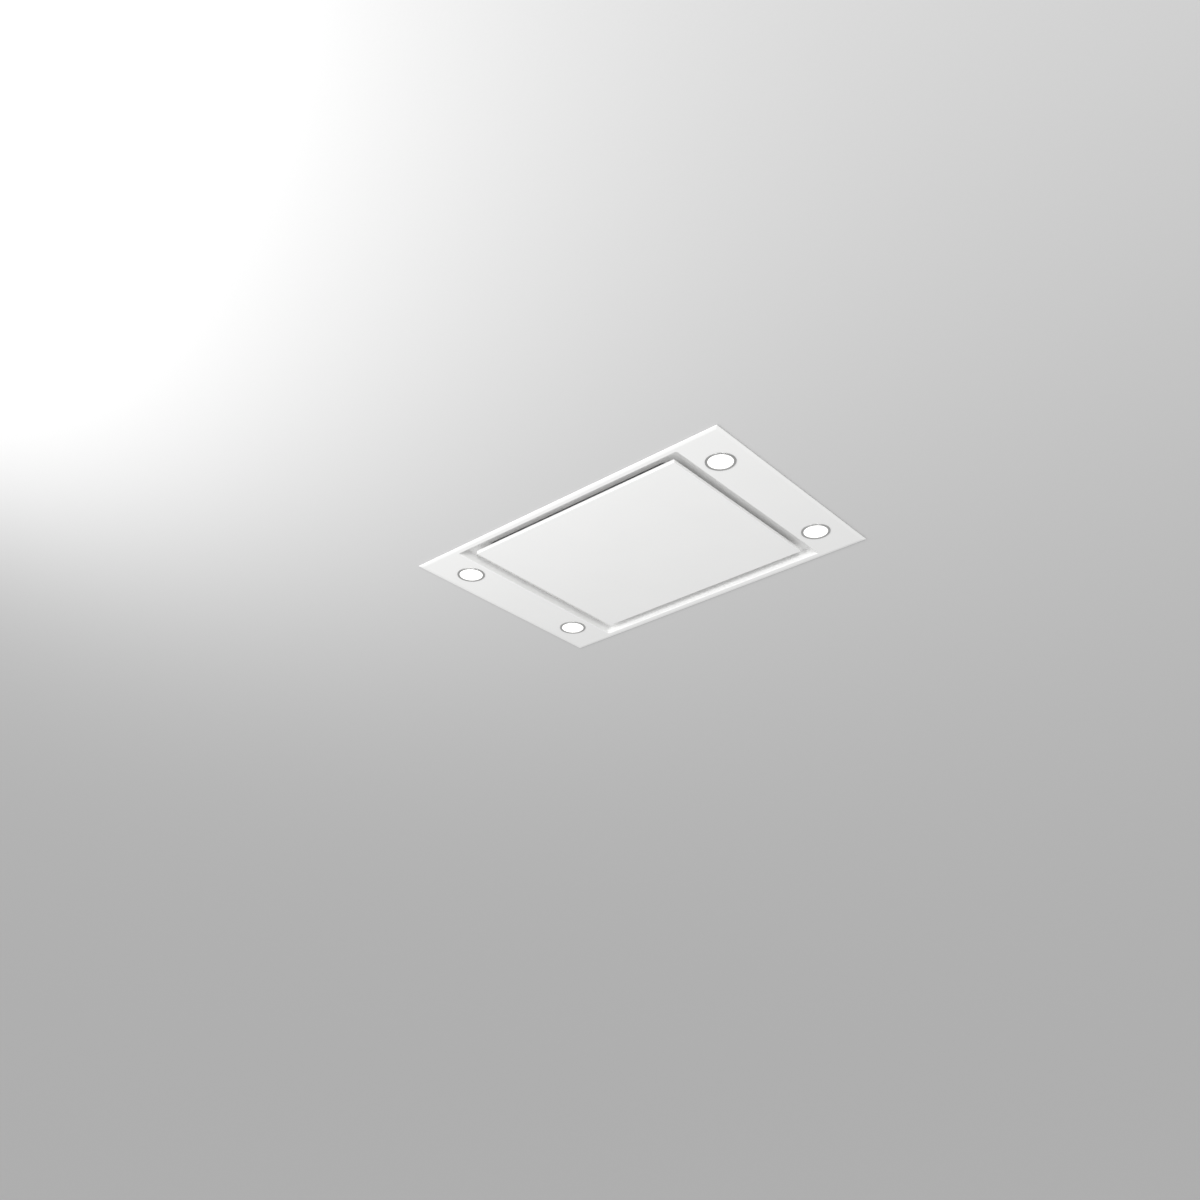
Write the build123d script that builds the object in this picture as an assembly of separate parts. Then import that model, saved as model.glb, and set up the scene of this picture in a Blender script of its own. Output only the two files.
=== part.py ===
from build123d import *
import os
from math import asin, cos, degrees, radians, sin

# Ceiling range hood with perimeter suction, in millimetres.
# X runs along the hood, Y across it and Z up into the ceiling void.
# The origin is the middle of the hood, on the face of the ceiling.

# Clearances
touch_gap = 0.3  # between pieces that move past each other
pin_gap = 0.03  # radial, round a fixed pin
running_gap = 0.05  # radial, round a shaft or a hinge pin
screw_gap = 0.1  # radial, round a screw
screw_radius = 2.0

# Panel and the fascia plate around it
panel_length = 600.0
panel_width = 500.0
panel_depth = 8.0
panel_sheet = 1.0
panel_corner = 2.0
panel_back_sheet = 0.8
panel_recess = 2.7  # panel's face above the plate's face
channel_width = 30.0  # suction gap all round the panel
end_strip = 120.0  # plate beside the recess, where the lamps are
plate_sheet = 1.2
face_drop = 4.2  # plate's face below the ceiling
edge_drop = 2.6  # plate's outer edge below the ceiling
border_width = 8.0  # bent border all round the plate
rim_gap = 0.4  # plate's turned-up edge to the ceiling
recess_depth = 23.2
recess_corner = 5.0
fold_radius = 2.0
inlet_inset_x = 35.0  # inlet's edge inside the panel's edge, at the ends
inlet_inset_y = 10.0  # the same along the sides

# Casing and the hole in the ceiling
casing_sheet = 1.0
recess_to_casing = 1.8
casing_side_gap = 4.0  # casing to the ceiling's edge, each side
ceiling_lap = 12.0  # plate over the ceiling, each side
end_margin = 25.0  # plate past the casing, each end
casing_flange = 10.0
lid_lip = 15.0
headroom = 44.8  # above the scroll cover
seal_inset = 2.0

# Plenum and filters
plenum_height = 64.3
plenum_margin = 20.0  # plenum side to inlet edge
plenum_flange = 18.0
plenum_foot = 16.0  # lower flange, turned in so that the panel hides its screws
plenum_sheet = 1.2
deck_sheet = 1.5
rail_stem = 8.0
rail_cap = 28.0
rail_foot = 15.0
filter_depth = 9.0
filter_lip = 1.5
filter_bar = 12.0
filter_lip_width = 3.0
filter_gap = 2.0
mesh_layers = 4
mesh_sheet = 0.5
tab_width = 30.0
tab_reach = 9.0
latch_width = 49.4
latch_length = 24.0
latch_sheet = 1.8
latch_reach = 8.0
latch_travel = 7.0
latch_pull = 24.0
pull_drop = 2.5  # finger pull below the frame
pull_setback = 6.0  # finger pull's front behind the frame's edge
housing_depth = 32.0
spring_radius = 2.2
spring_wire = 0.35
wire_sides = 10
spring_turns = 8

# Blower
blower_x = -60.0
blower_y = 40.0
scroll_start = 122.0  # scroll radius at the tongue
scroll_reach = 190.0  # scroll radius where the outlet channel starts
scroll_height = 116.0
scroll_sheet = 1.0
scroll_margin = 11.0
outlet_width = 130.0
outlet_x = 140.0
cover_sheet = 1.2
post_radius = 5.0
eye_radius = 104.0  # hole in the deck and the scroll floor
bell_throat = 90.0
bell_sheet = 1.5
bell_flange = 12.0
bell_height = 21.0
wheel_radius = 116.0
wheel_eye = 94.0
wheel_depth = 90.0
wheel_gap = 11.0  # scroll floor to wheel
wheel_sheet = 1.5
wheel_ring = 3.0  # depth of the ring below the blades
blade_count = 36
dish_radius = 50.0
dish_depth = 38.0
hub_radius = 14.0
hub_flange = 24.0
shaft_radius = 5.0
motor_radius = 45.0
motor_height = 74.0
motor_to_dish = 7.0
motor_hole_gap = 5.0
motor_flange = 56.0
motor_plate = 80.0
motor_plate_sheet = 2.0
mount_circle = 68.0
mount_radius = 8.0
mount_height = 8.0
bearing_radius = 11.0
bearing_height = 9.0
wire_radius = 1.2
guard_drop = 5.0
guard_rings = (22.0, 46.0, 70.0, 94.0)
guard_arms = 6
bell_curve = 10.0

# Outlet
duct_square = 146.0
duct_flange = 9.0
spigot_radius = 74.0
spigot_wall = 2.0
spigot_length = 42.0
collar_plate = 168.0
collar_sheet = 3.0
collar_screw_offset = 77.0
flap_setback = 12.0  # flap spindle beyond the collar plate
flap_sheet = 1.2
flap_clearance = 1.0
spindle_radius = 2.0
knuckle_radius = 4.0
spindle_boss = 5.0
boss_depth = 7.0

# Panel hinge and magnets
hinge_spread = 400.0
hinge_inset = 4.0  # hinge line inside the panel's edge
hinge_rise = 6.0  # hinge line above the panel's back
hinge_pin = 2.5
hinge_knuckle = 4.5
hinge_ear = 5.0
hinge_ear_sheet = 2.0
hinge_length = 24.0
hinge_base = 1.5
leaf_reach = 26.0
hinge_wing = 12.0  # fork's base past its ears
magnet_length = 36.0
magnet_width = 6.0
magnet_height = 6.0
magnet_wall = 1.8
magnet_inset_x = 24.0  # magnet's middle inside the panel's end
magnet_inset_y = 45.0  # the same from the panel's free side
strike_sheet = 0.8

# Lamps
lamp_inset_x = 70.0  # lamp centre from the plate's end
lamp_inset_y = 110.0  # lamp centre from the plate's side
lamp_hole = 30.6
bezel_radius = 34.2
bezel_sheet = 1.2
lens_radius = 28.6
lens_sheet = 3.0
lamp_body_radius = 27.5
lamp_body_height = 32.0
lamp_fins = 16
clip_width = 8.0
clip_sheet = 0.6

# Hanging brackets
bracket_inset = 59.0  # bracket's middle inside the casing's side
bracket_width = 60.0
bracket_sheet = 2.5
bracket_tail = 26.0  # leg below its slots
bracket_rise = 12.0  # foot above the lid
bracket_foot = 60.0
bracket_hole = 4.5
bracket_hole_inset = 27.8
bracket_up = 30.0
bracket_down = 10.0
bolt_spread = 32.0
bolt_radius = 3.0
bolt_head = 6.0
bolt_head_height = 4.0
bolt_drop = 60.0  # bolts below the lid
slot_half_width = 3.5

# Electrics
box_length = 80.0
box_y_low = -80.0
box_y_high = 140.0
box_z = 110.0
box_height = 80.0
box_sheet = 1.0
board_height = 8.0
board_sheet = 1.6
board_inset = 8.0
board_gap = 9.0  # board to terminal block
transformer_length = 28.0
transformer_width = 32.0
transformer_height = 26.0
relay_length = 28.0
relay_width = 12.0
relay_height = 15.0
relay_pitch = 18.0
relay_count = 3
smoothing_radius = 8.0
smoothing_height = 24.0
component_gap = 10.0
terminal_gap = 11.0  # terminal block to control box wall
terminal_length = 52.0
terminal_width = 22.0
terminal_height = 18.0
terminal_count = 5
gland_inset = 40.0
gland_bore = 5.0
gland_thread = 8.0
gland_head = 12.0
gland_reach = 22.0
driver_length = 120.0
driver_depth = 40.0
driver_height = 28.0
driver_z = 60.0
capacitor_radius = 17.0
capacitor_length = 70.0
capacitor_gap = 8.0  # motor plate to capacitor
clip_wall = 1.5
clip_length = 16.0

# Places worked out from the sizes above
recess_length = panel_length + 2 * channel_width
recess_width = panel_width + 2 * channel_width
inlet_length = panel_length - 2 * inlet_inset_x
inlet_width = panel_width - 2 * inlet_inset_y
casing_width = recess_width + 2 * (plate_sheet + recess_to_casing + casing_sheet)
cutout_width = casing_width + 2 * casing_side_gap
plate_width = cutout_width + 2 * ceiling_lap
plate_length = recess_length + 2 * end_strip
casing_length = plate_length - 2 * end_margin
cutout_length = plate_length - 2 * (ceiling_lap + 2)
casing_end = casing_length / 2
casing_side = casing_width / 2
inner_end = casing_end - casing_sheet
inner_side = casing_side - casing_sheet

face_z = -face_drop
edge_z = -edge_drop
plate_top = face_z + plate_sheet
floor_z = face_z + recess_depth
floor_top = floor_z + plate_sheet
plenum_foot_x = inlet_length / 2 + plenum_margin + plenum_sheet  # plenum sides' outer faces
panel_z = face_z + panel_recess
panel_top = panel_z + panel_depth
deck_z = floor_top + plenum_height
deck_top = deck_z + deck_sheet
scroll_z = deck_top + scroll_sheet
cover_z = scroll_z + scroll_height
cover_top = cover_z + cover_sheet
casing_top = cover_top + headroom
shell_top = casing_top - casing_sheet

hinge_y = panel_width / 2 - hinge_inset
hinge_z = panel_top + hinge_rise
outlet_y = blower_y - scroll_reach + outlet_width / 2
outlet_z = scroll_z + duct_square / 2
wheel_z = scroll_z + wheel_gap
wheel_top = wheel_z + wheel_depth
dish_z = wheel_top - dish_depth
motor_z = dish_z + wheel_sheet + motor_to_dish
mount_z = cover_top + mount_height
tongue_angle = degrees(asin((outlet_width - scroll_reach) / scroll_start))
spindle_x = casing_end + collar_sheet + flap_setback
bracket_y = casing_side - bracket_inset
bolt_z = casing_top - bolt_drop
gland_y = box_y_high - gland_inset
gland_z = box_z + box_height / 2
terminal_y = gland_y - terminal_length / 2
box_low_x = -inner_end
box_high_x = box_low_x + box_length
box_top = box_z + box_height
capacitor_x = blower_x - 15
capacitor_y = blower_y - motor_plate - capacitor_radius - capacitor_gap
capacitor_z = cover_top + clip_wall + capacitor_radius

magnet_x = panel_length / 2 - magnet_inset_x
magnet_y = -(panel_width / 2 - magnet_inset_y)
strike_top = panel_top + strike_sheet
magnet_z = strike_top + touch_gap
lid_screw_z = shell_top - lid_lip / 2
lens_z = face_z - bezel_sheet / 2
filter_low_x = rail_stem / 2 + filter_gap / 2
filter_high_x = inlet_length / 2 - filter_gap
filter_half_y = inlet_width / 2 - filter_gap
filter_middle = (filter_low_x + filter_high_x) / 2
filter_top = floor_z + filter_depth
latch_z = floor_top + touch_gap
latch_top = filter_top - filter_lip
pull_y = -filter_half_y + pull_setback
housing_half = latch_width / 2 + 3 * filter_lip


def block(x, y, z):
    """A box between two values on each axis."""
    middle = Pos((x[0] + x[1]) / 2, (y[0] + y[1]) / 2, (z[0] + z[1]) / 2)
    return middle * Box(x[1] - x[0], y[1] - y[0], z[1] - z[0])


def slab(length, width, low, high, corner=0.0):
    """A flat block round the hood's middle, with rounded corners where a radius is given."""
    outline = RectangleRounded(length, width, corner) if corner > 0 else Rectangle(length, width)
    return extrude(Pos(0, 0, low) * outline, high - low)


def rod(centre, radius, low, high, along="Z"):
    """A round bar along one axis; centre gives the other two coordinates in X, Y, Z order."""
    bar = Cylinder(radius, high - low)
    middle = (low + high) / 2
    if along == "X":
        return Pos(middle, centre[0], centre[1]) * Rot(0, 90, 0) * bar
    if along == "Y":
        return Pos(centre[0], middle, centre[1]) * Rot(90, 0, 0) * bar
    return Pos(centre[0], centre[1], middle) * bar


def tube(centre, outer, inner, low, high, along="Z"):
    """A round tube along one axis."""
    return rod(centre, outer, low, high, along) - rod(centre, inner, low - 1, high + 1, along)


def screw(centre, seat, length, radius, head_up=True):
    """A pan-head screw along Z, with the underside of its head at the seat."""
    head_height = 1.2 * radius
    way = 1 if head_up else -1
    head_ends = sorted((seat, seat + way * head_height))
    shank_ends = sorted((seat + way * head_height / 2, seat - way * length))
    head = rod(centre, 2 * radius, *head_ends)
    return head + rod(centre, radius, *shank_ends)


def save(name, *pieces):
    """Write one node: a single solid, or like pieces together."""
    solids = [solid for piece in pieces for solid in piece.solids()]
    shape = solids[0] if len(solids) == 1 else Compound(solids)
    shape.label = name
    export_step(shape, f"parts/{name}.step")


def both_ways(value):
    """The same place on either side of the middle."""
    return (-value, value)


# Fascia


def above_plate(lift, top):
    """All that lies above the plate's face and its sloping border, lifted, up to a level."""
    inner = Rectangle(plate_length - 2 * border_width, plate_width - 2 * border_width)
    crease = Pos(0, 0, face_z + lift) * inner
    edge = Pos(0, 0, edge_z + lift) * Rectangle(plate_length, plate_width)
    return loft([crease, edge]) + slab(plate_length, plate_width, edge_z + lift, top)


def lamp_places():
    """The four lamp centres in the plate's end strips."""
    return [
        (x, y)
        for x in both_ways(plate_length / 2 - lamp_inset_x)
        for y in both_ways(plate_width / 2 - lamp_inset_y)
    ]


def fascia_screw_places():
    """Screws up through the recess floor into the plenum sides."""
    x = plenum_foot_x - plenum_foot / 2
    return [(side, y) for side in both_ways(x) for y in (-inlet_width / 4, 0, inlet_width / 4)]


def fascia_plate():
    """One folded sheet: turned-up edge, sloping border, face, recess walls and recess floor."""
    sheet = above_plate(0, edge_z + plate_sheet)
    sheet -= above_plate(plate_sheet, edge_z + 2 * plate_sheet)
    rim = slab(plate_length, plate_width, edge_z, -rim_gap)
    rim -= slab(plate_length - 2 * plate_sheet, plate_width - 2 * plate_sheet, edge_z, -rim_gap)
    sheet += rim
    sheet -= slab(recess_length, recess_width, face_z - 1, edge_z + 1, recess_corner)
    outer_corner = recess_corner + plate_sheet
    tray_length = recess_length + 2 * plate_sheet
    tray_width = recess_width + 2 * plate_sheet
    tray = slab(tray_length, tray_width, face_z, floor_top, outer_corner)
    tray -= slab(recess_length, recess_width, face_z, floor_z, recess_corner)
    tray -= slab(inlet_length, inlet_width, floor_z, floor_top, recess_corner)
    sheet += tray
    sheet = fillet(fold_edges(sheet, face_z, 0), fold_radius)
    sheet = fillet(fold_edges(sheet, plate_top, plate_sheet), fold_radius - plate_sheet)
    for place in lamp_places():
        sheet -= rod(place, lamp_hole, face_z - 1, plate_top + 1)
    for place in fascia_screw_places():
        sheet -= rod(place, screw_radius + screw_gap, floor_z - 1, floor_top + 1)
    return sheet


def fold_edges(sheet, level, outset):
    """The edges of the recess's fold at one level, on the front or the back of the sheet."""
    edges = []
    for edge in sheet.edges():
        box = edge.bounding_box()
        flat = abs(box.min.Z - level) < 0.01 and abs(box.max.Z - level) < 0.01
        reach_x = recess_length / 2 + outset + 0.01
        reach_y = recess_width / 2 + outset + 0.01
        if flat and max(-box.min.X, box.max.X) < reach_x and max(-box.min.Y, box.max.Y) < reach_y:
            edges.append(edge)
    return edges


def ceiling_seal():
    """A foam ring between the plate's border and the ceiling."""
    ring = slab(plate_length - 2 * seal_inset, plate_width - 2 * seal_inset, face_z, 0)
    ring -= slab(cutout_length, cutout_width, face_z - 1, 1)
    return ring & above_plate(plate_sheet, 0)


# Panel


def panel_skin():
    """The visible pan, with a turned-up rim."""
    pan = slab(panel_length, panel_width, panel_z, panel_top, panel_corner)
    pan = fillet(pan.edges().group_by(Axis.Z)[0], panel_sheet * 0.9)
    length = panel_length - 2 * panel_sheet
    width = panel_width - 2 * panel_sheet
    return pan - slab(length, width, panel_z + panel_sheet, panel_top, panel_corner - panel_sheet)


def panel_back():
    """A flat sheet that closes the pan."""
    inset = 2 * (panel_sheet + touch_gap)
    low = panel_top - panel_back_sheet
    return slab(panel_length - inset, panel_width - inset, low, panel_top, panel_corner)


def panel_pad():
    """A felt pad that fills the pan."""
    inset = 2 * (panel_sheet + touch_gap)
    top = panel_top - panel_back_sheet
    return slab(panel_length - inset, panel_width - inset, panel_z + panel_sheet, top, panel_corner)


def hinge_leaves():
    """Two leaves on the panel's back, each with a knuckle."""
    leaves = []
    for x in both_ways(hinge_spread / 2):
        ends = (x - hinge_length / 2, x + hinge_length / 2)
        knuckle = rod((hinge_y, hinge_z), hinge_knuckle, *ends, along="X")
        web = block(ends, (hinge_y - hinge_knuckle, hinge_y), (panel_top, hinge_z))
        base = block(ends, (hinge_y - leaf_reach, hinge_y), (panel_top, panel_top + hinge_base))
        bore = rod((hinge_y, hinge_z), hinge_pin + running_gap, ends[0] - 1, ends[1] + 1, along="X")
        leaves.append(knuckle + web + base - bore)
    return leaves


def hinge_brackets():
    """Two forks under the recess floor that hold the hinge pins."""
    forks = []
    for x in both_ways(hinge_spread / 2):
        half = hinge_length / 2 + touch_gap
        outer = half + hinge_ear_sheet
        base_z = floor_z - hinge_base
        wing = outer + hinge_wing
        fork = block((x - wing, x + wing), (hinge_y - hinge_ear, hinge_y + hinge_ear), (base_z, floor_z))
        for side in (-1, 1):
            ends = sorted((x + side * half, x + side * outer))
            fork += rod((hinge_y, hinge_z), hinge_ear, *ends, along="X")
            fork += block(ends, (hinge_y - hinge_ear, hinge_y + hinge_ear), (hinge_z, base_z))
        bore = rod((hinge_y, hinge_z), hinge_pin + pin_gap, x - outer - 1, x + outer + 1, along="X")
        forks.append(fork - bore)
    return forks


def hinge_pins():
    """Two headed pins through the forks and the knuckles."""
    pins = []
    for x in both_ways(hinge_spread / 2):
        outer = hinge_length / 2 + touch_gap + hinge_ear_sheet
        shank = rod((hinge_y, hinge_z), hinge_pin, x - outer - 1, x + outer, along="X")
        head = rod((hinge_y, hinge_z), hinge_pin + 1.5, x + outer, x + outer + 2, along="X")
        pins.append(shank + head)
    return pins


def magnet_spans(x, wall):
    """The stretches along X and Y that one magnet takes up with a wall round it."""
    half_x = magnet_width / 2 + wall
    half_y = magnet_length / 2 + wall
    return (x - half_x, x + half_x), (magnet_y - half_y, magnet_y + half_y)


def magnets():
    """Two block magnets over the corners of the panel's free side."""
    height = (magnet_z, magnet_z + magnet_height)
    return [block(*magnet_spans(x, 0), height) for x in both_ways(magnet_x)]


def magnet_holders():
    """Plastic holders under the recess floor, round the magnets."""
    height = (magnet_z + magnet_wall, floor_z)
    return [
        block(*magnet_spans(x, magnet_wall), height) - magnet
        for x, magnet in zip(both_ways(magnet_x), magnets())
    ]


def magnet_strikes():
    """Two steel strips on the panel's back, under the magnets."""
    height = (panel_top, strike_top)
    return [block(*magnet_spans(x, magnet_wall), height) for x in both_ways(magnet_x)]


# Casing


def casing_shell():
    """Two long walls, and between them two end walls with an inward flange at the foot."""
    return [long_wall(side) for side in (-1, 1)] + [end_wall(side) for side in (-1, 1)]


def long_wall(side):
    """One long wall, with the holes for the lid's screws."""
    ends = sorted((side * inner_side, side * casing_side))
    wall = block((-casing_end, casing_end), ends, (plate_top, shell_top))
    for x, screw_side in lid_screw_places():
        if screw_side == side:
            wall -= rod((x, lid_screw_z), screw_radius + screw_gap, ends[0] - 1, ends[1] + 1, along="Y")
    return wall


def end_wall(side):
    """One end wall: the duct leaves through one, and the mains cable comes in through the other."""
    ends = sorted((side * inner_end, side * casing_end))
    flange = sorted((side * (inner_end - casing_flange), side * casing_end))
    wall = block(ends, both_ways(inner_side), (plate_top, shell_top))
    wall += block(flange, both_ways(inner_side), (plate_top, plate_top + casing_sheet))
    for place in bolt_places():
        if place[0] == side:
            wall -= rod(place[1:], bolt_radius + screw_gap, *wall_span(side), along="X")
    if side < 0:
        return wall - rod((gland_y, gland_z), gland_thread + screw_gap, *wall_span(side), along="X")
    wall -= rod((outlet_y, outlet_z), spigot_radius - spigot_wall, *wall_span(side), along="X")
    for place in collar_screw_places():
        wall -= rod(place, screw_radius + screw_gap, *wall_span(side), along="X")
    return wall


def wall_span(side):
    """A stretch along X that takes in one end wall."""
    return tuple(sorted((side * (inner_end - 5), side * (casing_end + 5))))


def lid_screw_places():
    """Screws through the long walls into the lid's lips."""
    return [(x, side) for x in (-casing_end * 0.7, 0, casing_end * 0.7) for side in (-1, 1)]


def casing_lid():
    """The top sheet, with a lip inside each long wall."""
    lid = slab(casing_length, casing_width, shell_top, casing_top)
    lip_x = inner_end - 2 * touch_gap
    for side in (-1, 1):
        ends = sorted((side * (inner_side - casing_sheet), side * inner_side))
        lip = block((-lip_x, lip_x), ends, (shell_top - lid_lip, shell_top))
        for x, screw_side in lid_screw_places():
            if screw_side == side:
                lip -= rod((x, lid_screw_z), screw_radius + screw_gap, ends[0] - 1, ends[1] + 1, along="Y")
        lid += lip
    return lid


def side_screw(centre, seat, length, along, way):
    """A screw along X or Y; way says which way its head looks."""
    head_ends = sorted((seat, seat + way * 1.2 * screw_radius))
    shank_ends = sorted((seat + way * screw_radius / 2, seat - way * length))
    head = rod(centre, 2 * screw_radius, *head_ends, along=along)
    return head + rod(centre, screw_radius, *shank_ends, along=along)


def casing_screws():
    """The lid's screws and the collar's screws."""
    screws = []
    for x, side in lid_screw_places():
        screws.append(side_screw((x, lid_screw_z), side * casing_side, 6, "Y", side))
    for place in collar_screw_places():
        screws.append(side_screw(place, casing_end + collar_sheet, collar_sheet + 6, "X", 1))
    return screws


# Plenum, deck and filters


def plenum_side(side):
    """One side of the plenum: a Z-shaped sheet that stands on the recess floor and carries the deck."""
    inner = inlet_length / 2 + plenum_margin
    wall_x = sorted((side * inner, side * plenum_foot_x))
    foot_x = sorted((side * (plenum_foot_x - plenum_foot), side * plenum_foot_x))
    flange_x = sorted((side * inner, side * (inner + plenum_flange)))
    reach = inner_side - touch_gap
    sheet = block(wall_x, (-reach, reach), (floor_top, deck_z))
    sheet += block(foot_x, (-reach, reach), (floor_top, floor_top + plenum_sheet))
    sheet += block(flange_x, (-reach, reach), (deck_z - plenum_sheet, deck_z))
    for end in (-1, 1):
        ends = sorted((end * (inner_side - plenum_sheet), end * inner_side))
        sheet += block(flange_x, ends, (floor_top, deck_z))
    for place in fascia_screw_places():
        sheet -= rod(place, screw_radius + screw_gap, floor_z, floor_top + plenum_sheet + 1)
    for place in deck_screw_places():
        sheet -= rod(place, screw_radius + screw_gap, deck_z - plenum_sheet - 1, deck_z + 1)
    return sheet


def deck_screw_places():
    """Screws that hold the deck's corners to the plenum sides."""
    x = inlet_length / 2 + plenum_margin + plenum_flange / 2
    return [(side, y) for side in both_ways(x) for y in both_ways(inlet_width * 0.4)]


def fascia_screws():
    """Screws up through the recess floor, behind the panel."""
    length = plate_sheet + 6
    return [screw(place, floor_z, length, screw_radius, head_up=False) for place in fascia_screw_places()]


def blower_deck():
    """The plate over the plenum that carries the blower."""
    half_x = inlet_length / 2 + plenum_margin + plenum_flange
    deck = slab(2 * half_x, 2 * (inner_side - touch_gap), deck_z, deck_top)
    deck -= rod((blower_x, blower_y), eye_radius, deck_z - 1, deck_top + 1)
    for place in deck_screw_places() + scroll_foot_places():
        deck -= rod(place, screw_radius + screw_gap, deck_z - 1, deck_top + 1)
    return deck


def filter_frame(side):
    """One cassette's aluminium frame, with hooks at the back and a latch housing at the front."""
    x = sorted((side * filter_low_x, side * filter_high_x))
    y = both_ways(filter_half_y)
    frame = block(x, y, (floor_z, filter_top))
    lip = filter_bar + filter_lip_width
    frame -= block((x[0] + lip, x[1] - lip), (y[0] + lip, y[1] - lip), (floor_z, filter_top))
    cavity_x = (x[0] + filter_bar, x[1] - filter_bar)
    cavity_y = (y[0] + filter_bar, y[1] - filter_bar)
    frame -= block(cavity_x, cavity_y, mesh_span())
    middle = side * filter_middle
    housing_x = (middle - housing_half, middle + housing_half)
    frame += block(housing_x, (y[0], y[0] + housing_depth), (floor_z, filter_top))
    for tab_x in both_ways(filter_middle / 2):
        tab = (middle + tab_x - tab_width / 2, middle + tab_x + tab_width / 2)
        frame += block(tab, (y[1] - filter_bar, y[1] + tab_reach), (latch_z, latch_z + filter_lip))
    return frame - latch_pocket(middle)


def mesh_span():
    """The height that the mesh pack takes up between the frame's lips."""
    return (floor_z + filter_lip, filter_top - filter_lip)


def latch_pocket(middle):
    """The space the latch and its spring slide in, and the window for its finger pull."""
    half = latch_width / 2 + touch_gap
    y = (-filter_half_y - 1, -filter_half_y + housing_depth - filter_lip)
    pocket = block((middle - half, middle + half), y, (latch_z - touch_gap, latch_top + touch_gap))
    pull = latch_pull / 2 + touch_gap
    window_y = (pull_y - touch_gap, pull_y + latch_pull / 3 + latch_travel + touch_gap)
    return pocket + block((middle - pull, middle + pull), window_y, (floor_z - 1, floor_top))


def filter_latch(side):
    """A sliding bolt over the recess floor, with a finger pull and a spring seat."""
    middle = side * filter_middle
    front = -filter_half_y - latch_reach
    back = front + latch_length
    x = (middle - latch_width / 2, middle + latch_width / 2)
    bolt = block(x, (front, back), (latch_z, latch_z + latch_sheet))
    bolt += block(x, (back - latch_length / 3, back), (latch_z, latch_top))
    pull_x = (middle - latch_pull / 2, middle + latch_pull / 2)
    pull_z = (floor_z - pull_drop, latch_z + latch_sheet)
    return bolt + block(pull_x, (pull_y, pull_y + latch_pull / 3), pull_z)


def latch_spring(side):
    """A small compression spring behind the latch."""
    end_gap = spring_wire + touch_gap / 3
    seat = -filter_half_y - latch_reach + latch_length + end_gap
    back = -filter_half_y + housing_depth - filter_lip - end_gap
    pitch = (back - seat) / spring_turns
    helix = Helix(pitch, back - seat, spring_radius)
    ring = Plane(origin=helix @ 0, z_dir=helix % 0) * RegularPolygon(spring_wire, wire_sides)
    coil = sweep(ring, helix, is_frenet=True)
    centre_z = (latch_z + latch_top) / 2
    return Pos(side * filter_middle, seat, centre_z) * Rot(-90, 0, 0) * coil


def filter_mesh(side):
    """The layers of expanded aluminium mesh inside one frame, cut away round the latch housing."""
    x = sorted((side * filter_low_x, side * filter_high_x))
    inset = filter_bar + touch_gap / 2
    half = housing_half + touch_gap / 2
    notch_y = (-filter_half_y, -filter_half_y + housing_depth + touch_gap / 2)
    notch = block((side * filter_middle - half, side * filter_middle + half), notch_y, mesh_span())
    layer_x = (x[0] + inset, x[1] - inset)
    layer_y = (-filter_half_y + inset, filter_half_y - inset)
    low, high = mesh_span()
    pitch = (high - low - mesh_sheet) / (mesh_layers - 1)
    layers = []
    for i in range(mesh_layers):
        layer = block(layer_x, layer_y, (low + i * pitch, low + i * pitch + mesh_sheet))
        layers.append(layer - notch)
    return layers


def filter_rail():
    """The T bar between the two cassettes, with a foot at each end."""
    cap_z = filter_top + touch_gap
    reach = inlet_width / 2 + rail_foot
    stem = block(both_ways(rail_stem / 2), both_ways(inlet_width / 2 - touch_gap), (floor_z, cap_z))
    rail = stem + block(both_ways(rail_cap / 2), both_ways(reach), (cap_z, cap_z + filter_lip))
    for end in (-1, 1):
        foot_y = sorted((end * (inlet_width / 2 + filter_lip), end * reach))
        rail += block(both_ways(rail_stem / 2), foot_y, (floor_top, cap_z))
    return rail


# Blower


def spiral_radius(angle):
    """The scroll's inner radius, which grows evenly from the tongue round to the outlet channel."""
    share = (angle - tongue_angle) / (270 - tongue_angle)
    return scroll_start + (scroll_reach - scroll_start) * share


def spiral_point(angle, offset):
    """A point on the scroll, moved out by an offset."""
    radius = spiral_radius(angle) + offset
    return (blower_x + radius * cos(radians(angle)), blower_y + radius * sin(radians(angle)))


def scroll_outline(offset):
    """The scroll's plan: a spiral that runs out into a straight channel."""
    low_y = blower_y - scroll_reach - offset
    high_y = blower_y - scroll_reach + outlet_width + offset
    start = tongue_angle
    for _ in range(8):
        start = degrees(asin((high_y - blower_y) / (spiral_radius(start) + offset)))
    steps = 12
    points = [spiral_point(start + (270 - start) * i / steps, offset) for i in range(steps + 1)]
    points[-1] = (blower_x, low_y)
    leave = (-sin(radians(start)), cos(radians(start)))
    spiral = Spline(*points, tangents=[leave, (1, 0)])
    channel = Polyline(points[-1], (outlet_x, low_y), (outlet_x, high_y), points[0])
    return make_face(spiral + channel)


def post_places():
    """The screw posts outside the scroll's wall."""
    out = scroll_sheet + post_radius - 0.5
    places = [spiral_point(angle, out) for angle in (30, 90, 150, 210)]
    x = outlet_x - 3 * post_radius
    low_y = blower_y - scroll_reach - out
    return places + [(x, low_y), (x, low_y + outlet_width + 2 * out)]


def scroll_foot_places():
    """The screws through the scroll's floor into the deck."""
    out = scroll_sheet + 2.5 * screw_radius
    return [spiral_point(angle, out) for angle in (60, 120, 180, 240)]


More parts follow.
